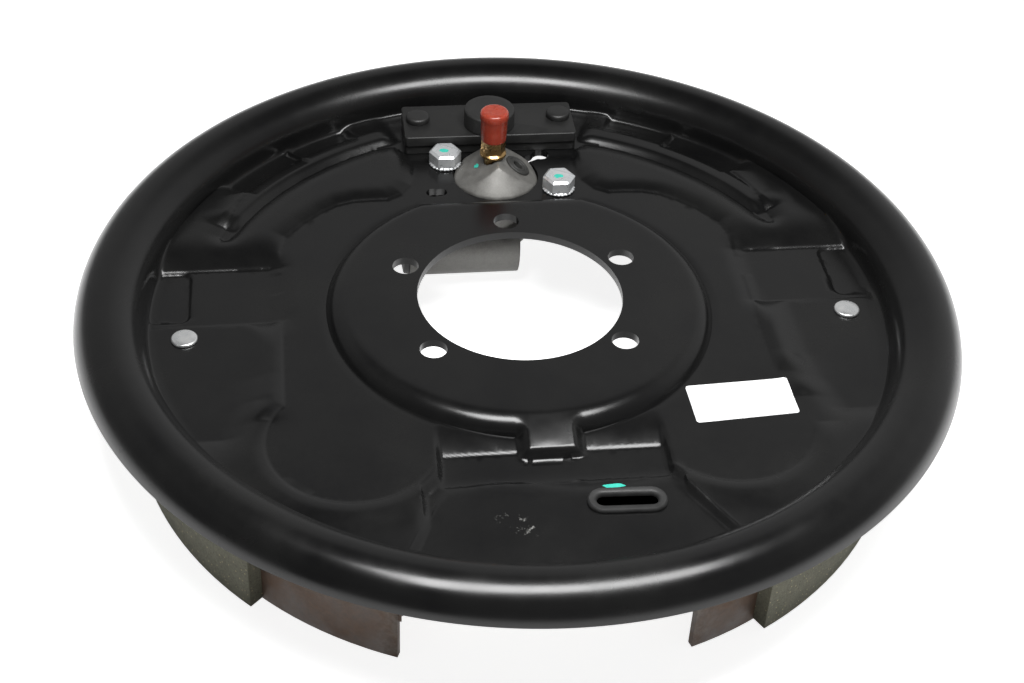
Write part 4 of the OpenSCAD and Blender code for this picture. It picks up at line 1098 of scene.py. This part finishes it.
def makeFloor():
    bm = bmesh.new()
    bmesh.ops.create_grid(bm, x_segments=1, y_segments=1, size=studio["floorSize"] / 2)
    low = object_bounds()[0].z / mm
    moveAll(bm, 0, 0, low - 0.05)
    bmesh.ops.scale(bm, vec=(mm, mm, mm), verts=bm.verts)
    mesh = bpy.data.meshes.new("studioFloor")
    bm.to_mesh(mesh)
    bm.free()
    floor = bpy.data.objects.new("studioFloor", mesh)
    scene.collection.objects.link(floor)
    material = newMaterial("floorPaper")
    tree = material.node_tree
    matte = addNode(tree, "ShaderNodeBsdfDiffuse")
    matte.inputs["Color"].default_value = (0.9, 0.9, 0.9, 1)
    glow = addNode(tree, "ShaderNodeEmission")
    glow.inputs["Strength"].default_value = 0.86
    path = addNode(tree, "ShaderNodeLightPath")
    seen = path.outputs["Is Camera Ray"]
    for label in ("Is Glossy Ray", "Is Transmission Ray"):
        either = addNode(tree, "ShaderNodeMath", operation="MAXIMUM")
        tree.links.new(seen, either.inputs[0])
        tree.links.new(path.outputs[label], either.inputs[1])
        seen = either.outputs[0]
    gate = addNode(tree, "ShaderNodeMixShader")
    blank = addNode(tree, "ShaderNodeEmission")
    blank.inputs["Strength"].default_value = 0.0
    both = addNode(tree, "ShaderNodeAddShader")
    tree.links.new(seen, gate.inputs[0])
    link(tree.links, blank, 0, gate, 1)
    link(tree.links, glow, 0, gate, 2)
    link(tree.links, gate, 0, both, 0)
    link(tree.links, matte, 0, both, 1)
    # the floor is clear when it is looked at from below
    shape = addNode(tree, "ShaderNodeNewGeometry")
    clear = addNode(tree, "ShaderNodeBsdfTransparent")
    sides = addNode(tree, "ShaderNodeMixShader")
    link(tree.links, shape, "Backfacing", sides, 0)
    link(tree.links, both, 0, sides, 1)
    link(tree.links, clear, 0, sides, 2)
    finishSurface(material, sides)
    mesh.materials.append(material)


def makeWorld():
    world = bpy.data.worlds.new("studioWorld")
    scene.world = world
    world.use_nodes = True
    tree = world.node_tree
    tree.nodes.clear()
    back = addNode(tree, "ShaderNodeBackground")
    back.inputs["Color"].default_value = (1, 1, 1, 1)
    place = addNode(tree, "ShaderNodeTexCoord")
    axes = addNode(tree, "ShaderNodeSeparateXYZ")
    fade = addNode(tree, "ShaderNodeMapRange", interpolation_type="SMOOTHSTEP")
    fill(fade, From_Min=0.62, From_Max=0.86, To_Min=0.42, To_Max=0.015)
    link(tree.links, place, "Generated", axes, 0)
    link(tree.links, axes, "Z", fade, "Value")
    total = fade.outputs[0]
    for label, low, high, least, most in (("X", -0.9, 0.9, 0.5, 1.3), ("Y", -0.4, 0.5, 0.35, 1.0)):
        share = addNode(tree, "ShaderNodeMapRange")
        fill(share, From_Min=low, From_Max=high, To_Min=least, To_Max=most)
        product = addNode(tree, "ShaderNodeMath", operation="MULTIPLY")
        tree.links.new(axes.outputs[label], share.inputs["Value"])
        tree.links.new(total, product.inputs[0])
        link(tree.links, share, 0, product, 1)
        total = product.outputs[0]
    tree.links.new(total, back.inputs["Strength"])
    out = addNode(tree, "ShaderNodeOutputWorld")
    link(tree.links, back, 0, out, "Surface")


def makeLamp(name, place, target, size, power):
    data = bpy.data.lights.new(name, "AREA")
    data.shape = "RECTANGLE"
    data.size, data.size_y = size
    data.energy = power
    lamp = bpy.data.objects.new(name, data)
    scene.collection.objects.link(lamp)
    lamp.location = Vector(place) * mm
    aim = Vector(target) * mm - lamp.location
    lamp.rotation_euler = aim.to_track_quat("-Z", "Y").to_euler()


def makeCamera():
    data = bpy.data.cameras.new("photoCamera")
    data.sensor_width = 36.0
    data.lens = studio["lens"]
    data.clip_start, data.clip_end = 0.01, 50
    camera = bpy.data.objects.new("photoCamera", data)
    scene.collection.objects.link(camera)
    camera.location = Vector(studio["camera"]) * mm
    aim = Vector(studio["target"]) * mm - camera.location
    turn = aim.to_track_quat("-Z", "Y").to_matrix() @ Matrix.Rotation(math.radians(studio["roll"]), 3, "Z")
    camera.rotation_euler = turn.to_euler()
    scene.camera = camera


makeFloor()
makeWorld()
makeLamp("keySoftbox", studio["keyPlace"], studio["keyTarget"], studio["keySize"], studio["keyPower"])
makeCamera()
print("studio set")
